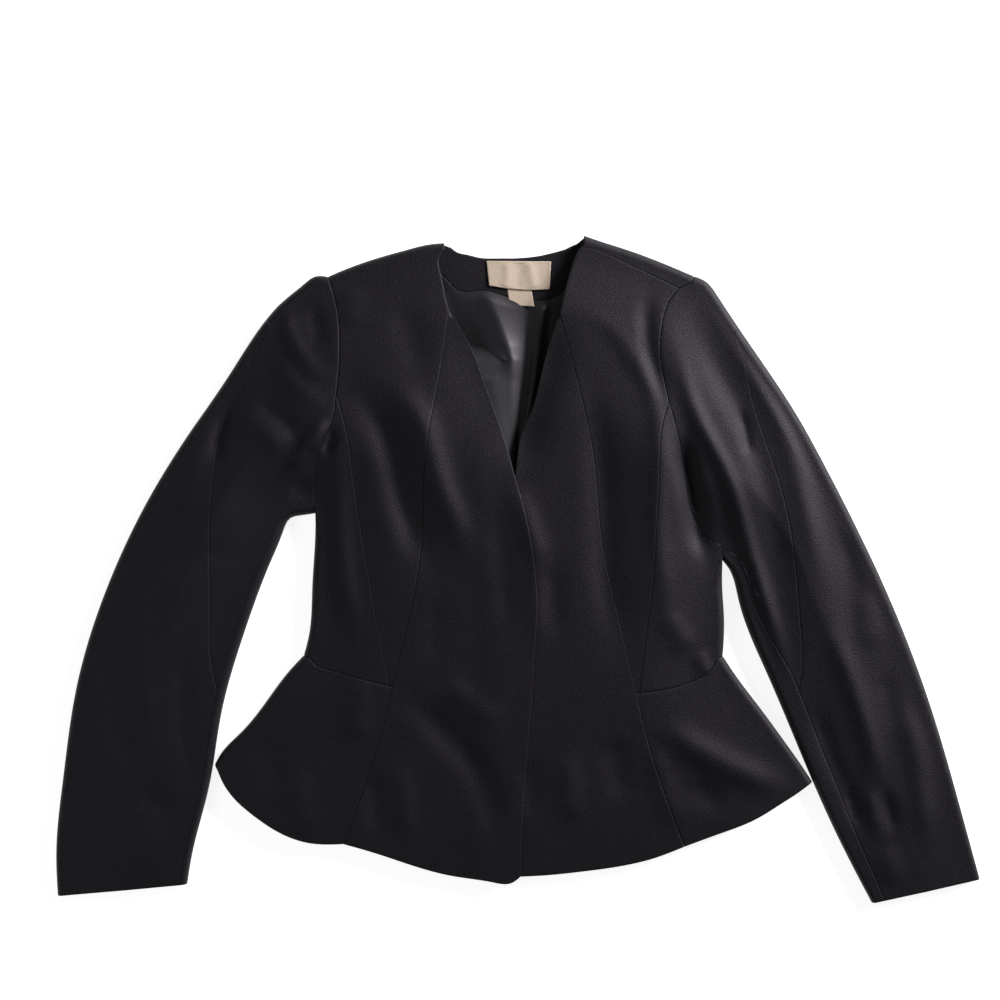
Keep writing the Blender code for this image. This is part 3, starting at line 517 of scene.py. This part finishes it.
def lift(plan):
    """Extra height of the upper front, where the other one lies under it."""
    away = nearest_gap(plan.reshape(-1, 2), closing_line[::4])
    return (LIFT * (1 - smooth((away - UNDERLAP - 2) / LIFT_FADE))).reshape(plan.shape[:-1])


fronts = {}
for side in ("right", "left"):
    seam = joined(line_between(f"princess_up_{side}", count=10 * FINE),
                  line_between(f"princess_low_{side}", count=6 * FINE))
    free = joined(line_between(f"vee_{side}", count=5 * FINE), closing)
    top = evenly(np.stack([seam[0], free[0]]), 60)
    bottom = line_between(f"hem_front_{side}", count=60)
    if side == "left":
        bottom = bottom[::-1]
    wide = blend(seam, free, top, bottom)
    plan = np.empty((len(seam), 46, 2))
    # Each row has its last nine steps within the underlap.
    for row, points in enumerate(wide):
        length = np.hypot(*np.diff(points, axis=0).T).sum()
        band = min(UNDERLAP / length, 0.3)
        shares = (*np.linspace(0, 1 - band, 37), *(1 - band * np.linspace(1, 0, 10)[1:]))
        cumulative = np.concatenate([[0], np.cumsum(np.hypot(*np.diff(points, axis=0).T))])
        for axis in range(2):
            plan[row, :, axis] = np.interp(np.array(shares) * length, cumulative, points[:, axis])
    fronts[side] = plan

plan, drop = sunk(fronts["right"], left=SEAM, right=EDGE, bottom=EDGE)
sewn("right_front", [standing(plan, drop, lift(plan))], crepe, "front_center_right")
plan, drop = sunk(fronts["left"], left=SEAM, right=EDGE, bottom=EDGE)
drop[5 * FINE:, -4:] = drop[5 * FINE:, -5:-4]
under_plan, under_drop = sunk(fronts["right"][5 * FINE:, :35:-1], right=EDGE, bottom=EDGE)
sewn("left_front", [standing(plan, drop), standing(under_plan, under_drop)], crepe,
     "front_center_left")

# Shoulder and bust panels. Each starts along the shoulder, takes in the top of the armhole and the side of
# the neck, and narrows to a point at the waist seam. The right one turns over the shoulder to the back.
LINES.update({
    "armhole_up_right": (None, (-172.5, 252), (-169.5, 235), (-168.5, 214), (-169, 190), (-171.5, 165.5)),
    "armhole_up_left": ((152, 267), (141.5, 252), (135, 229), (133.5, 204), (137, 180.5), (141.5, 158.5)),
    "shoulder_seam_left": ((152, 267), (123.5, 281), (95, 294.5), (76, 303), (60, 306.5)),
    "neck_right": (None, (-75, 294.5), (-73, 280), (-69.5, 262), (-65, 244)),
    "neck_left": ((60, 306.5), (56, 300), (50.5, 286), (44.5, 266), (39, 242)),
    "side_seam_right": ((-171.5, 165.5), (-163.5, 138), (-155, 81), (-145.5, 19), (-134, -44.5),
                        (-121.4, -109.5)),
    "side_seam_left": ((141.5, 158.5), (135, 135), (132, 90), (129.5, 38), (126.5, -12.5), (120.5, -62),
                       (114.4, -116)),
})
# How far a panel goes on underneath past its fold.
STRIP = 2.0
shoulder = {side: evenly(fold_lines[f"shoulder_{side}"][:, :2], 6 * FINE) for side in ("right", "left")}
armhole_up = {
    "right": line_between("armhole_up_right", start=shoulder["right"][0], count=6 * FINE),
    "left": joined(evenly(np.array([shoulder["left"][0], LINES["armhole_up_left"][0]]), FINE),
                   line_between("armhole_up_left", count=5 * FINE)),
}
princess_up = {side: line_between(f"princess_up_{side}", count=10 * FINE) for side in shoulder}
side_seam = {side: line_between(f"side_seam_{side}", count=8 * FINE) for side in shoulder}
for side, start, neck_steps in (("right", 0, 4), ("left", FINE, 3)):
    outside = joined(armhole_up[side][start:], side_seam[side])
    neck = line_between(f"neck_{side}", start=shoulder[side][-1], count=neck_steps * FINE)
    point = evenly(np.stack([side_seam[side][-1], princess_up[side][-1]]), 6 * FINE)
    if side == "right":
        plan, drop = sunk(blend(outside, joined(neck, princess_up[side]), shoulder[side], point),
                          left=SEAM, right=SEAM, bottom=SEAM)
        grids = [standing(plan, drop), turned(plan[0], drop[0], "shoulder_right", STRIP)]
    else:
        seam = line_between("shoulder_seam_left", count=6 * FINE)
        plan, drop = sunk(blend(outside, joined(neck, princess_up[side]), seam, point),
                          left=SEAM, right=SEAM, top=SEAM, bottom=SEAM)
        grids = [standing(plan, drop)]
    sewn(f"{side}_bust_panel", grids, crepe, f"front_bust_{side}")

# Side panels of the bodice and, below the waist seam, the flared sides of the peplum. Each is one piece of
# crepe that turns round the side fold and meets the back on the underside.
LINES.update({
    "armhole_low_right": ((-171.5, 165.5), (-176, 138.5), (-186, 117), (-191, 95), None),
    "armhole_low_left": ((141.5, 158.5), (149, 133), (155, 106.5), (160.5, 74), (168, 46), (180, 31), None),
    "waist_right": (None, (-193, -88.5), (-176.5, -95), (-156, -100.5), (-121.4, -109.5)),
    "waist_left": (None, (181, -96), (163.5, -105.5), (146.5, -111), (114.4, -116)),
    "hem_side_right": (None, (-280, -201), (-268, -217.5), (-248, -234.5), (-221.5, -251), (-195, -259),
                       (-165.5, -259.5)),
    "hem_side_left": (None, (264, -212), (251.5, -220), (226, -235.5), (190, -250), (157.5, -262)),
})
# How far inside the side fold the armhole reaches its lowest point.
DIVE = 8.0
armhole, side_fold, peplum_fold = {}, {}, {}
for side in ("right", "left"):
    fold = evenly(fold_lines[f"side_{side}"], 8 * FINE)
    side_fold[side] = fold
    dive = fold[0, :2] - fold[0, 2:] * DIVE
    low = joined(line_between(f"armhole_low_{side}", end=dive, count=5 * FINE),
                 evenly(np.stack([dive, fold[0, :2]]), FINE))
    armhole[side] = joined(armhole_up[side], low)
    waist = line_between(f"waist_{side}", start=fold[-1, :2], count=6 * FINE)
    plan, drop = sunk(blend(fold[:, :2], side_seam[side], low[::-1], waist),
                      right=SEAM, top=SEAM, bottom=SEAM)
    grids = [standing(plan, drop), turned(plan[:, 0], drop[:, 0], f"side_{side}", STRIP)]
    sewn(f"{side}_side_panel", grids, crepe, f"front_side_{side}")
    fold = evenly(fold_lines[f"peplum_{side}"], 6 * FINE)
    peplum_fold[side] = fold
    princess_low = line_between(f"princess_low_{side}", count=6 * FINE)
    top = joined(waist, evenly(np.stack([waist[-1], princess_low[0]]), 4))
    hem = line_between(f"hem_side_{side}", start=fold[-1, :2], count=len(top) - 1)
    plan, drop = sunk(blend(fold[:, :2], princess_low, top, hem), right=SEAM, top=SEAM, bottom=EDGE)
    grids = [standing(plan, drop), turned(plan[:, 0], drop[:, 0], f"peplum_{side}", STRIP)]
    sewn(f"{side}_peplum_side", grids, crepe, f"peplum_side_{side}")

# Back. Two bodice halves with a seam down the middle lie on the surface, with a one-piece peplum below
# them. The left half comes over the shoulder fold to its seam in front.
LINES.update({
    "hem_back": (None, (-274, -203), (-246, -230), (-195, -254), (-120, -269), (-50, -284), (0, -286),
                 (60, -282), (130, -272), (158, -262.3), (190, -247.5), (245, -221), (262, -210.5), None),
    "back_neck_right": (None, (-66.3, 308), (-59.4, 303.6), (-48.7, 300.5), (-38, 297.8), (-22, 296.9),
                        (-5, 296.9)),
    "back_neck_left": (None, (54.7, 310), (46, 306), (35.5, 302.8), (22, 299.6), (-5, 296.9)),
    "back_waist_right": (None, (-100, -98), (-5, -103)),
    "back_waist_left": (None, (95, -98), (-5, -103)),
})
centre_seam = evenly(np.array([[-5, 296.9], [-5, -103]]), 20 * FINE)
peplum_top = []
for side in ("right", "left"):
    sides = side_fold[side][:, :2] - side_fold[side][:, 2:] * STRIP
    over = shoulder[side].copy()
    if side == "right":
        over -= evenly(fold_lines["shoulder_right"], 6 * FINE)[:, 2:] * STRIP
    edge = armhole[side].copy()
    edge[0], edge[-1] = over[0], sides[0]
    neck = line_between(f"back_neck_{side}", start=over[-1], count=4 * FINE)
    waist = line_between(f"back_waist_{side}", start=sides[-1], count=10 * FINE)
    peplum_top.append(waist)
    plan = blend(joined(edge, sides), centre_seam, joined(over, neck), waist)
    plan, drop = sunk(plan, left=SEAM, right=SEAM, bottom=SEAM)
    grids = [lying(plan, drop)]
    if side == "left":
        columns = 6 * FINE + len(SEAM)
        border, sinks = plan[0, :columns], drop[0, :columns]
        grids.append(turned(border, sinks, "shoulder_left"))
        seam = line_between("shoulder_seam_left", count=6 * FINE)
        shares = np.linspace(0, 1, 6 * FINE + 1)
        reach = np.concatenate([np.zeros(len(SEAM) - 1), shares])
        ends = np.stack([np.interp(reach, shares, seam[:, i]) for i in (0, 1)], axis=1)
        ends[:len(SEAM)] += border[:len(SEAM)] - border[0]
        share = np.linspace(0, 1, 9)[None, :, None]
        strip, strip_drop = sunk(border[:, None] * (1 - share) + ends[:, None] * share, right=SEAM)
        grids.append(standing(strip, np.maximum(strip_drop, sinks[:, None])))
    sewn(f"{side}_back", grids, crepe, f"back_{side}")
tucked = {side: fold[:, :2] - fold[:, 2:] * STRIP for side, fold in peplum_fold.items()}
top = joined(peplum_top[0], peplum_top[1][::-1])
top[0], top[-1] = tucked["right"][0], tucked["left"][0]
hem = line_between("hem_back", tucked["right"][-1], tucked["left"][-1], 20 * FINE)
plan, drop = sunk(blend(tucked["right"], tucked["left"], top, hem),
                  left=SEAM, right=SEAM, top=SEAM, bottom=EDGE)
sewn("flared_back", [lying(plan, drop)], crepe, "back_peplum")

# Sleeves. Each is three pieces of crepe sewn into a tube and pressed flat: a wedge from the sleeve head to
# the inner edge, the long main panel, and the under sleeve, which turns up round the inner edge.
LINES.update({
    "sleeve_seam_right": (None, (-247, 207), (-256.5, 177.5), (-279.5, 136), (-286, 109), (-290, 66.5),
                          (-291.5, 20), (-291, -41), (-290, -90), None),
    "sleeve_seam_left": (None, (212, 204), (219, 171), (232, 126), (246, 85), (257, 38), (263, -10),
                         (267, -56), (268.5, -92), None),
})
# The shares of the outer fold at which the main panel starts and of the inner fold at which the wedge ends,
# and the width of the under sleeve that shows on top, by share of the inner fold.
SLEEVES = {
    "right": {"starts": 0.108, "ends": 0.53, "strip": ((0, 1.2), (1, 1.2))},
    "left": {"starts": 0.10, "ends": 0.41,
             "strip": ((0, 1.5), (0.12, 4.0), (0.35, 14.0), (0.7, 13.0), (1, 7.0))},
}
WEDGE_LAP = 0.0012
FLAT_SEAM = ((0.04, 0.25), (0.6, 0.06), (1.5, 0.0))
for side, sizes in SLEEVES.items():
    outer_fold, inner_fold = fold_lines[f"sleeve_outer_{side}"], fold_lines[f"sleeve_inner_{side}"]
    head = evenly(outer_fold, 5 * FINE, 0, sizes["starts"])
    arm = evenly(outer_fold, 17 * FINE, sizes["starts"], 1)
    upper = evenly(inner_fold, 5 * FINE, 0, sizes["ends"])
    lower = evenly(inner_fold, 5 * FINE, sizes["ends"], 1)
    travelled = np.linspace(0, 1, len(inner_fold))

    def strip_seam(points):
        """The seam of the under sleeve on top, beside these points of the inner fold."""
        near = np.array([np.argmin(((inner_fold[:, :2] - point) ** 2).sum(axis=1)) for point in points])
        width = column(sizes["strip"], 1, travelled[near])[:, None]
        return points - inner_fold[near, 2:] * width

    seam_upper, seam_lower = strip_seam(upper[:, :2]), strip_seam(lower[:, :2])
    short = armhole[side].copy()
    past = np.hypot(*(short - short[-1]).T) < column(sizes["strip"], 1, 0)
    short[past] = seam_upper[0]
    crossing = line_between(f"sleeve_seam_{side}", arm[0, :2], seam_upper[-1], 12 * FINE)

    plan, drop = sunk(blend(crossing, short, head[::-1, :2], seam_upper[::-1]),
                      left=SEAM, right=SEAM, bottom=SEAM)
    grids = [standing(plan, drop), turned(plan[0], drop[0], f"sleeve_outer_{side}", STRIP)]
    sewn(f"{side}_sleeve_wedge", grids, crepe, f"sleeve_wedge_{side}")

    started = evenly(outer_fold[:, :2], 17 * FINE, sizes["starts"] - WEDGE_LAP, 1)
    inner_side = joined(crossing, seam_lower)
    top = evenly(np.stack([started[0], crossing[0]]), 6 * FINE)
    cuff = evenly(np.stack([started[-1], seam_lower[-1]]), 6 * FINE)
    plan, drop = sunk(blend(started, inner_side, top, cuff), right=SEAM, top=SEAM, bottom=EDGE)
    grids = [standing(plan, drop), turned(plan[:, 0], drop[:, 0], f"sleeve_outer_{side}", STRIP)]
    sewn(f"{side}_main_sleeve", grids, crepe, f"sleeve_outer_{side}")

    head_in, arm_in = (fold[:, :2] - fold[:, 2:] * STRIP for fold in (head, arm))
    opening = armhole[side].copy()
    opening[0] = head_in[0]
    across = line_between(f"sleeve_seam_{side}", arm_in[0], upper[-1, :2], 12 * FINE)
    upper_plan, upper_drop = sunk(blend(across, opening, head_in[::-1], upper[::-1, :2]), right=SEAM)
    lower_plan = blend(arm_in, joined(across, lower[:, :2]), np.repeat(across[:1], 6 * FINE + 1, axis=0),
                       evenly(np.stack([arm_in[-1], lower[-1, :2]]), 6 * FINE))
    lower_plan, lower_drop = sunk(lower_plan, left=SEAM, bottom=EDGE)
    border = joined(upper_plan[-1, ::-1], lower_plan[12 * FINE:, -1])
    sinks = np.concatenate([upper_drop[-1, ::-1], lower_drop[12 * FINE + 1:, -1]])
    share = np.linspace(0, 1, 5)[None, :, None]
    strip = border[:, None] * (1 - share) + strip_seam(border)[:, None] * share
    strip, strip_drop = sunk(strip, right=FLAT_SEAM)
    grids = [lying(upper_plan, upper_drop), lying(lower_plan, lower_drop),
             turned(border, sinks, f"sleeve_inner_{side}"),
             standing(strip, np.maximum(strip_drop, sinks[:, None]))]
    sewn(f"{side}_under_sleeve", grids, crepe, f"sleeve_under_{side}")

# Inside of the back neck. A crepe facing follows the neck edge, and the black satin lining is sewn to its
# lower edge and falls in loose pleats that show in the V.
LINES.update({
    "facing_neck": ((-72, 309.6), (-66.5, 307.6), (-59.5, 302.9), (-48.7, 299.8), (-38, 297.1), (-22, 296.2),
                    (-5, 296.2), (22, 298.9), (35.5, 302.1), (45.8, 305.2), (54.3, 309.2), (62, 315.5)),
    "facing_low": ((-80, 287), (-71, 280), (-57, 266), (-33, 266), (-10.5, 260), (13.5, 256.5),
                   (27.5, 257.5), (40, 263), (56, 279)),
    "lining_right": ((-84, 281), (-74, 235.5), (-53, 197.5), (-36, 159.5), (-22, 118), (-11.5, 74)),
    "lining_left": ((60, 276), (42, 228), (30.5, 188), (22, 152), (14, 118), (7.5, 74)),
})
NECK_ROLL = ((0.0, 2.2), (0.8, 1.2), (2.4, 0.35), (5.0, 0.0))
FACING_TOP = 3.5
FACING_THICK, LINING_THICK = 0.7, 0.6
# Height of the loose lining over the facing, across it at each y: x and height of each bend, from the
# wearer's right to left. The broad middle pleat falls to a narrow slot, and a sharp one stands beside it.
PLEATS = (
    (262, (-66, -0.9), (-50, 1.0), (-40, 2.4), (-30, 5.2), (4, 0.2), (10, -0.6), (23, 4.4), (34, 0.6)),
    (240, (-60, -0.9), (-46, 1.2), (-38, 2.6), (-20, 7.0), (5, 0.4), (10, -0.7), (21, 5.2), (30, 0.8)),
    (212, (-50, -0.9), (-42, 0.2), (-34, 2.2), (-10, 8.4), (7, 0.8), (9, -0.7), (19, 6.4), (26, 1.5)),
    (199, (-46, 6.8), (-38, 6.0), (-14, 4.6), (-7, 8.4), (6, 1.6), (9, -0.6), (17, 7.0), (24, 2.0)),
    (180, (-38, 10.6), (-32, 11.2), (-24, 10.4), (-6, 6.8), (5, 2.4), (7, -0.2), (15, 8.0), (21, 3.0)),
    (133, (-26, 11.6), (-19, 12.0), (-14, 11.0), (-5, 8.4), (0, 6.4), (2, 4.6), (7, 9.4), (12, 6.0)),
    (74, (-12, 12.4), (-10, 12.6), (-8, 12.2), (-5, 11.4), (-1, 10.4), (1, 10.0), (4, 10.8), (8, 10.0)),
)


def flat_layer(plan, top, drop, thick):
    """Outer and inner points of a layer inside the jacket, with its face at this height."""
    face = (top - drop)[..., None]
    return np.concatenate([plan, face], axis=-1), np.concatenate([plan, face - thick], axis=-1)


satin_weave = weave_height("satin grain", 0.0012, 6.0)
satin = cloth_finish("black satin", (0.026, 0.025, 0.028), roughness=0.40, specular=0.6,
                     weave=satin_weave, bump=0.12, variation=0.15, speckle=0.1, tint=NIGHT_TINT)
facing_neck, facing_low = line_between("facing_neck", count=90), line_between("facing_low", count=90)
plan = blend(evenly(np.stack([facing_neck[0], facing_low[0]]), 20),
             evenly(np.stack([facing_neck[-1], facing_low[-1]]), 20), facing_neck, facing_low)
plan, drop = sunk(plan, top=NECK_ROLL, bottom=SEAM)
facing = flat_layer(plan, FACING_TOP, drop, FACING_THICK)
sewn("neck_facing", [facing], crepe, "neck_facing_back")
top = facing_low.copy()
top[0], top[-1] = LINES["lining_right"][0], LINES["lining_left"][0]
bottom = evenly(np.array([LINES["lining_right"][-1], LINES["lining_left"][-1]], float), 90)
plan = blend(line_between("lining_right", count=110), line_between("lining_left", count=110), top, bottom)
plan, drop = sunk(plan, top=SEAM)
points = plan.reshape(-1, 2)
levels = np.array([row[0] for row in PLEATS])[::-1]
bends = np.array([row[1:] for row in PLEATS])[::-1]
BEND_SOFTNESS = 2.4
fall = np.empty(len(points))
for place, (x, y) in enumerate(points):
    bend_x, bend_height = ([np.interp(y, levels, line) for line in bends[..., axis].T] for axis in range(2))
    near = np.linspace(x - BEND_SOFTNESS, x + BEND_SOFTNESS, 7)
    fall[place] = np.interp(near, bend_x, bend_height).mean()
fall = (fall * smooth(nearest_gap(points, facing_low) / 12 + 0.15)).reshape(drop.shape)
lining = flat_layer(plan, FACING_TOP - 0.1 + fall, drop, LINING_THICK)
sewn("back_lining", [lining], satin, "lining_back")

# Woven label on the facing, left bare, with folded ends and a row of small stitches, and below it the
# small size tab, also bare, with one curled corner.
LABEL_CORNERS = ((-30, 294), (31.5, 293.5), (30, 267.5), (-27.5, 271))
LABEL_RISE, LABEL_THICK, LABEL_SAG = 1.1, 0.45, 2.6
TAB_CORNERS = ((-11, 273), (12, 272), (15.5, 250.5), (-8, 252))
TAB_RISE, TAB_THICK, TAB_CURL = 0.45, 0.35, 2.2
LABEL_CREASES = {
    "left": (0.5, 4.5, ((-11, 292), (-10, 280), (-12, 269))),
    "right": (0.6, 5.0, ((11, 292), (13, 280), (16, 268))),
    "dip": (-0.3, 4.5, ((1, 292), (1, 280), (0, 268))),
}
label_weave = weave_height("label grain", 0.0011, 2.5)
label_cloth = cloth_finish("cream label cloth", (0.74, 0.59, 0.47), roughness=0.62, specular=0.3,
                           weave=label_weave, bump=0.22, variation=0.05, speckle=0.05)


def stitch_nodes():
    """Geometry nodes that lay short thread stitches along a curve."""
    tree = bpy.data.node_groups.new("row of stitches", "GeometryNodeTree")
    tree.interface.new_socket("Geometry", in_out="INPUT", socket_type="NodeSocketGeometry")
    for name, kind in (("Spacing", "Float"), ("Length", "Float"), ("Thickness", "Float"), ("Seed", "Int"),
                       ("Thread", "Material")):
        tree.interface.new_socket(name, in_out="INPUT", socket_type="NodeSocket" + kind)
    tree.interface.new_socket("Stitches", in_out="OUTPUT", socket_type="NodeSocketGeometry")
    given = add_node(tree, "NodeGroupInput").outputs
    points = add_node(tree, "GeometryNodeCurveToPoints", {
        "Curve": given["Geometry"], "Length": given["Spacing"]}, mode="LENGTH").outputs
    along = add_node(tree, "FunctionNodeAlignRotationToVector", {"Vector": points["Tangent"]}, axis="Z")
    bead = add_node(tree, "GeometryNodeMeshIcoSphere", {"Radius": 0.5, "Subdivisions": 2})
    size = add_node(tree, "ShaderNodeCombineXYZ", {
        "X": given["Thickness"], "Y": given["Thickness"], "Z": given["Length"]})
    thread = add_node(tree, "GeometryNodeTransform", {
        "Geometry": bead.outputs["Mesh"], "Scale": size.outputs["Vector"]})
    uneven = add_node(tree, "FunctionNodeRandomValue", {
        0: (0.85, 0.85, 0.8), 1: (1.1, 1.1, 1.1), "Seed": given["Seed"]}, data_type="FLOAT_VECTOR")
    laid = add_node(tree, "GeometryNodeInstanceOnPoints", {
        "Points": points["Points"], "Instance": thread.outputs["Geometry"],
        "Rotation": along.outputs["Rotation"], "Scale": uneven.outputs[0]})
    real = add_node(tree, "GeometryNodeRealizeInstances", {"Geometry": laid.outputs["Instances"]})
    coloured = add_node(tree, "GeometryNodeSetMaterial", {
        "Geometry": real.outputs["Geometry"], "Material": given["Thread"]})
    add_node(tree, "NodeGroupOutput", {"Stitches": coloured.outputs["Geometry"]})
    return tree


def quad_plan(corners, down, across):
    """Plan of a flat piece between four corners."""
    corners = np.array(corners, float)
    return blend(evenly(corners[[0, 3]], down), evenly(corners[[1, 2]], down),
                 evenly(corners[:2], across), evenly(corners[[3, 2]], across))


row_of_stitches = stitch_nodes()
LABEL_EDGE = ((0.0, 0.28), (0.3, 0.1), (0.8, 0.0))
plan, drop = sunk(quad_plan(LABEL_CORNERS, 30, 70), left=LABEL_EDGE, right=LABEL_EDGE, top=LABEL_EDGE,
                  bottom=LABEL_EDGE)
sag = smooth((plan[..., 1].max() - plan[..., 1]) / 26) * (1 - ((plan[..., 0] - 1) / 31) ** 2)
plan[..., 1] -= LABEL_SAG * np.clip(sag, 0, 1)
label_rise = rises(plan.reshape(-1, 2), LABEL_CREASES, 0.05).reshape(drop.shape)
label_rise += 0.5 * smooth((plan[..., 1].max() - plan[..., 1]) / 26)
label_face = flat_layer(plan, FACING_TOP + LABEL_RISE + label_rise, drop, LABEL_THICK)
sewn("woven_label", [label_face], label_cloth, "neck_label")
seam_row = label_face[0]
seam_row = np.concatenate([seam_row[:3:-1, 4], seam_row[4, 4:-4], seam_row[4:, -5]])
stitched = bpy.data.curves.new("label stitches", "CURVE")
stitched.dimensions = "3D"
spline = stitched.splines.new("POLY")
spline.points.add(len(seam_row) - 1)
for point, (x, y, z) in zip(spline.points, seam_row / 1000):
    point.co = (x, y, z + 0.00004, 1)
row = bpy.data.objects.new("label_stitches", stitched)
bpy.context.scene.collection.objects.link(row)
stitching = row.modifiers.new("stitches", "NODES")
stitching.node_group = row_of_stitches
for socket, value in (("Spacing", 0.0021), ("Length", 0.0016), ("Thickness", 0.00034), ("Seed", 4),
                      ("Thread", label_cloth)):
    stitching[row_of_stitches.interface.items_tree[socket].identifier] = value
bpy.context.view_layer.update()
shaped = bpy.data.meshes.new_from_object(row.evaluated_get(bpy.context.evaluated_depsgraph_get()))
bpy.data.objects.remove(row)
bpy.data.curves.remove(stitched)
label_stitches = bpy.data.objects.new("label_stitches", shaped)
bpy.context.scene.collection.objects.link(label_stitches)
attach(label_stitches, "root")
plan, drop = sunk(quad_plan(TAB_CORNERS, 16, 26), left=LABEL_EDGE, right=LABEL_EDGE, bottom=LABEL_EDGE)
curl = TAB_CURL * smooth(((plan[..., 0] - 4) / 11 + (262 - plan[..., 1]) / 11 - 0.6) / 1.4) ** 2
tab = flat_layer(plan, FACING_TOP + TAB_RISE + curl, drop, TAB_THICK)
sewn("size_tab", [tab], label_cloth, "size_tag")

# Floor, camera and light of the picture. The jacket lies on a plain white ground that glows a little, so
# that it shows no grey, and the light comes from a window at the upper right.
FLOOR_HALF, FLOOR_DROP = 4, -0.0006
floor_mesh = bpy.data.meshes.new("floor")
corners = [(x * FLOOR_HALF, y * FLOOR_HALF, FLOOR_DROP) for x, y in ((-1, -1), (1, -1), (1, 1), (-1, 1))]
floor_mesh.from_pydata(corners, [], [(0, 1, 2, 3)])
floor = bpy.data.objects.new("floor", floor_mesh)
bpy.context.scene.collection.objects.link(floor)
paper = bpy.data.materials.new("pale floor")
paper.use_nodes = True
for socket, value in (("Base Color", (0.86, 0.86, 0.86, 1)), ("Roughness", 0.9),
                      ("Emission Color", (1, 1, 1, 1)), ("Emission Strength", 0.85)):
    paper.node_tree.nodes["Principled BSDF"].inputs[socket].default_value = value
floor_mesh.materials.append(paper)
floor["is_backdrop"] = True

# The picture is 0.95 m wide at 1.6 m below the camera.
CAMERA_HEIGHT = 1.607
SENSOR = 36.0
camera_data = bpy.data.cameras.new("camera")
camera_data.sensor_width = SENSOR
camera_data.lens = SENSOR * 1.6 / 0.95
camera = bpy.data.objects.new("camera", camera_data)
camera.location = (-0.0171, 0.0665, CAMERA_HEIGHT)
bpy.context.scene.collection.objects.link(camera)
bpy.context.scene.camera = camera


def soft_light(name, place, aim, size, power):
    data = bpy.data.lights.new(name, "AREA")
    data.shape = "RECTANGLE"
    data.size, data.size_y = size
    data.energy = power
    lamp = bpy.data.objects.new(name, data)
    lamp.location = place
    lamp.rotation_mode = "QUATERNION"
    lamp.rotation_quaternion = (Vector(aim) - Vector(place)).to_track_quat("-Z", "Y")
    bpy.context.scene.collection.objects.link(lamp)
    lamp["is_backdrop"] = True


soft_light("window", (2.1, 1.5, 0.92), (0, 0, 0), (1.2, 0.8), 122)
soft_light("fill", (-2.1, -0.7, 1.5), (0, 0, 0), (1.4, 1.4), 8)
world = bpy.data.worlds.new("studio")
world.use_nodes = True
world.node_tree.nodes["Background"].inputs["Color"].default_value = (1, 1, 1, 1)
world.node_tree.nodes["Background"].inputs["Strength"].default_value = 0.08
bpy.context.scene.world = world
bpy.context.scene.view_settings.view_transform = "Standard"

low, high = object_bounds()
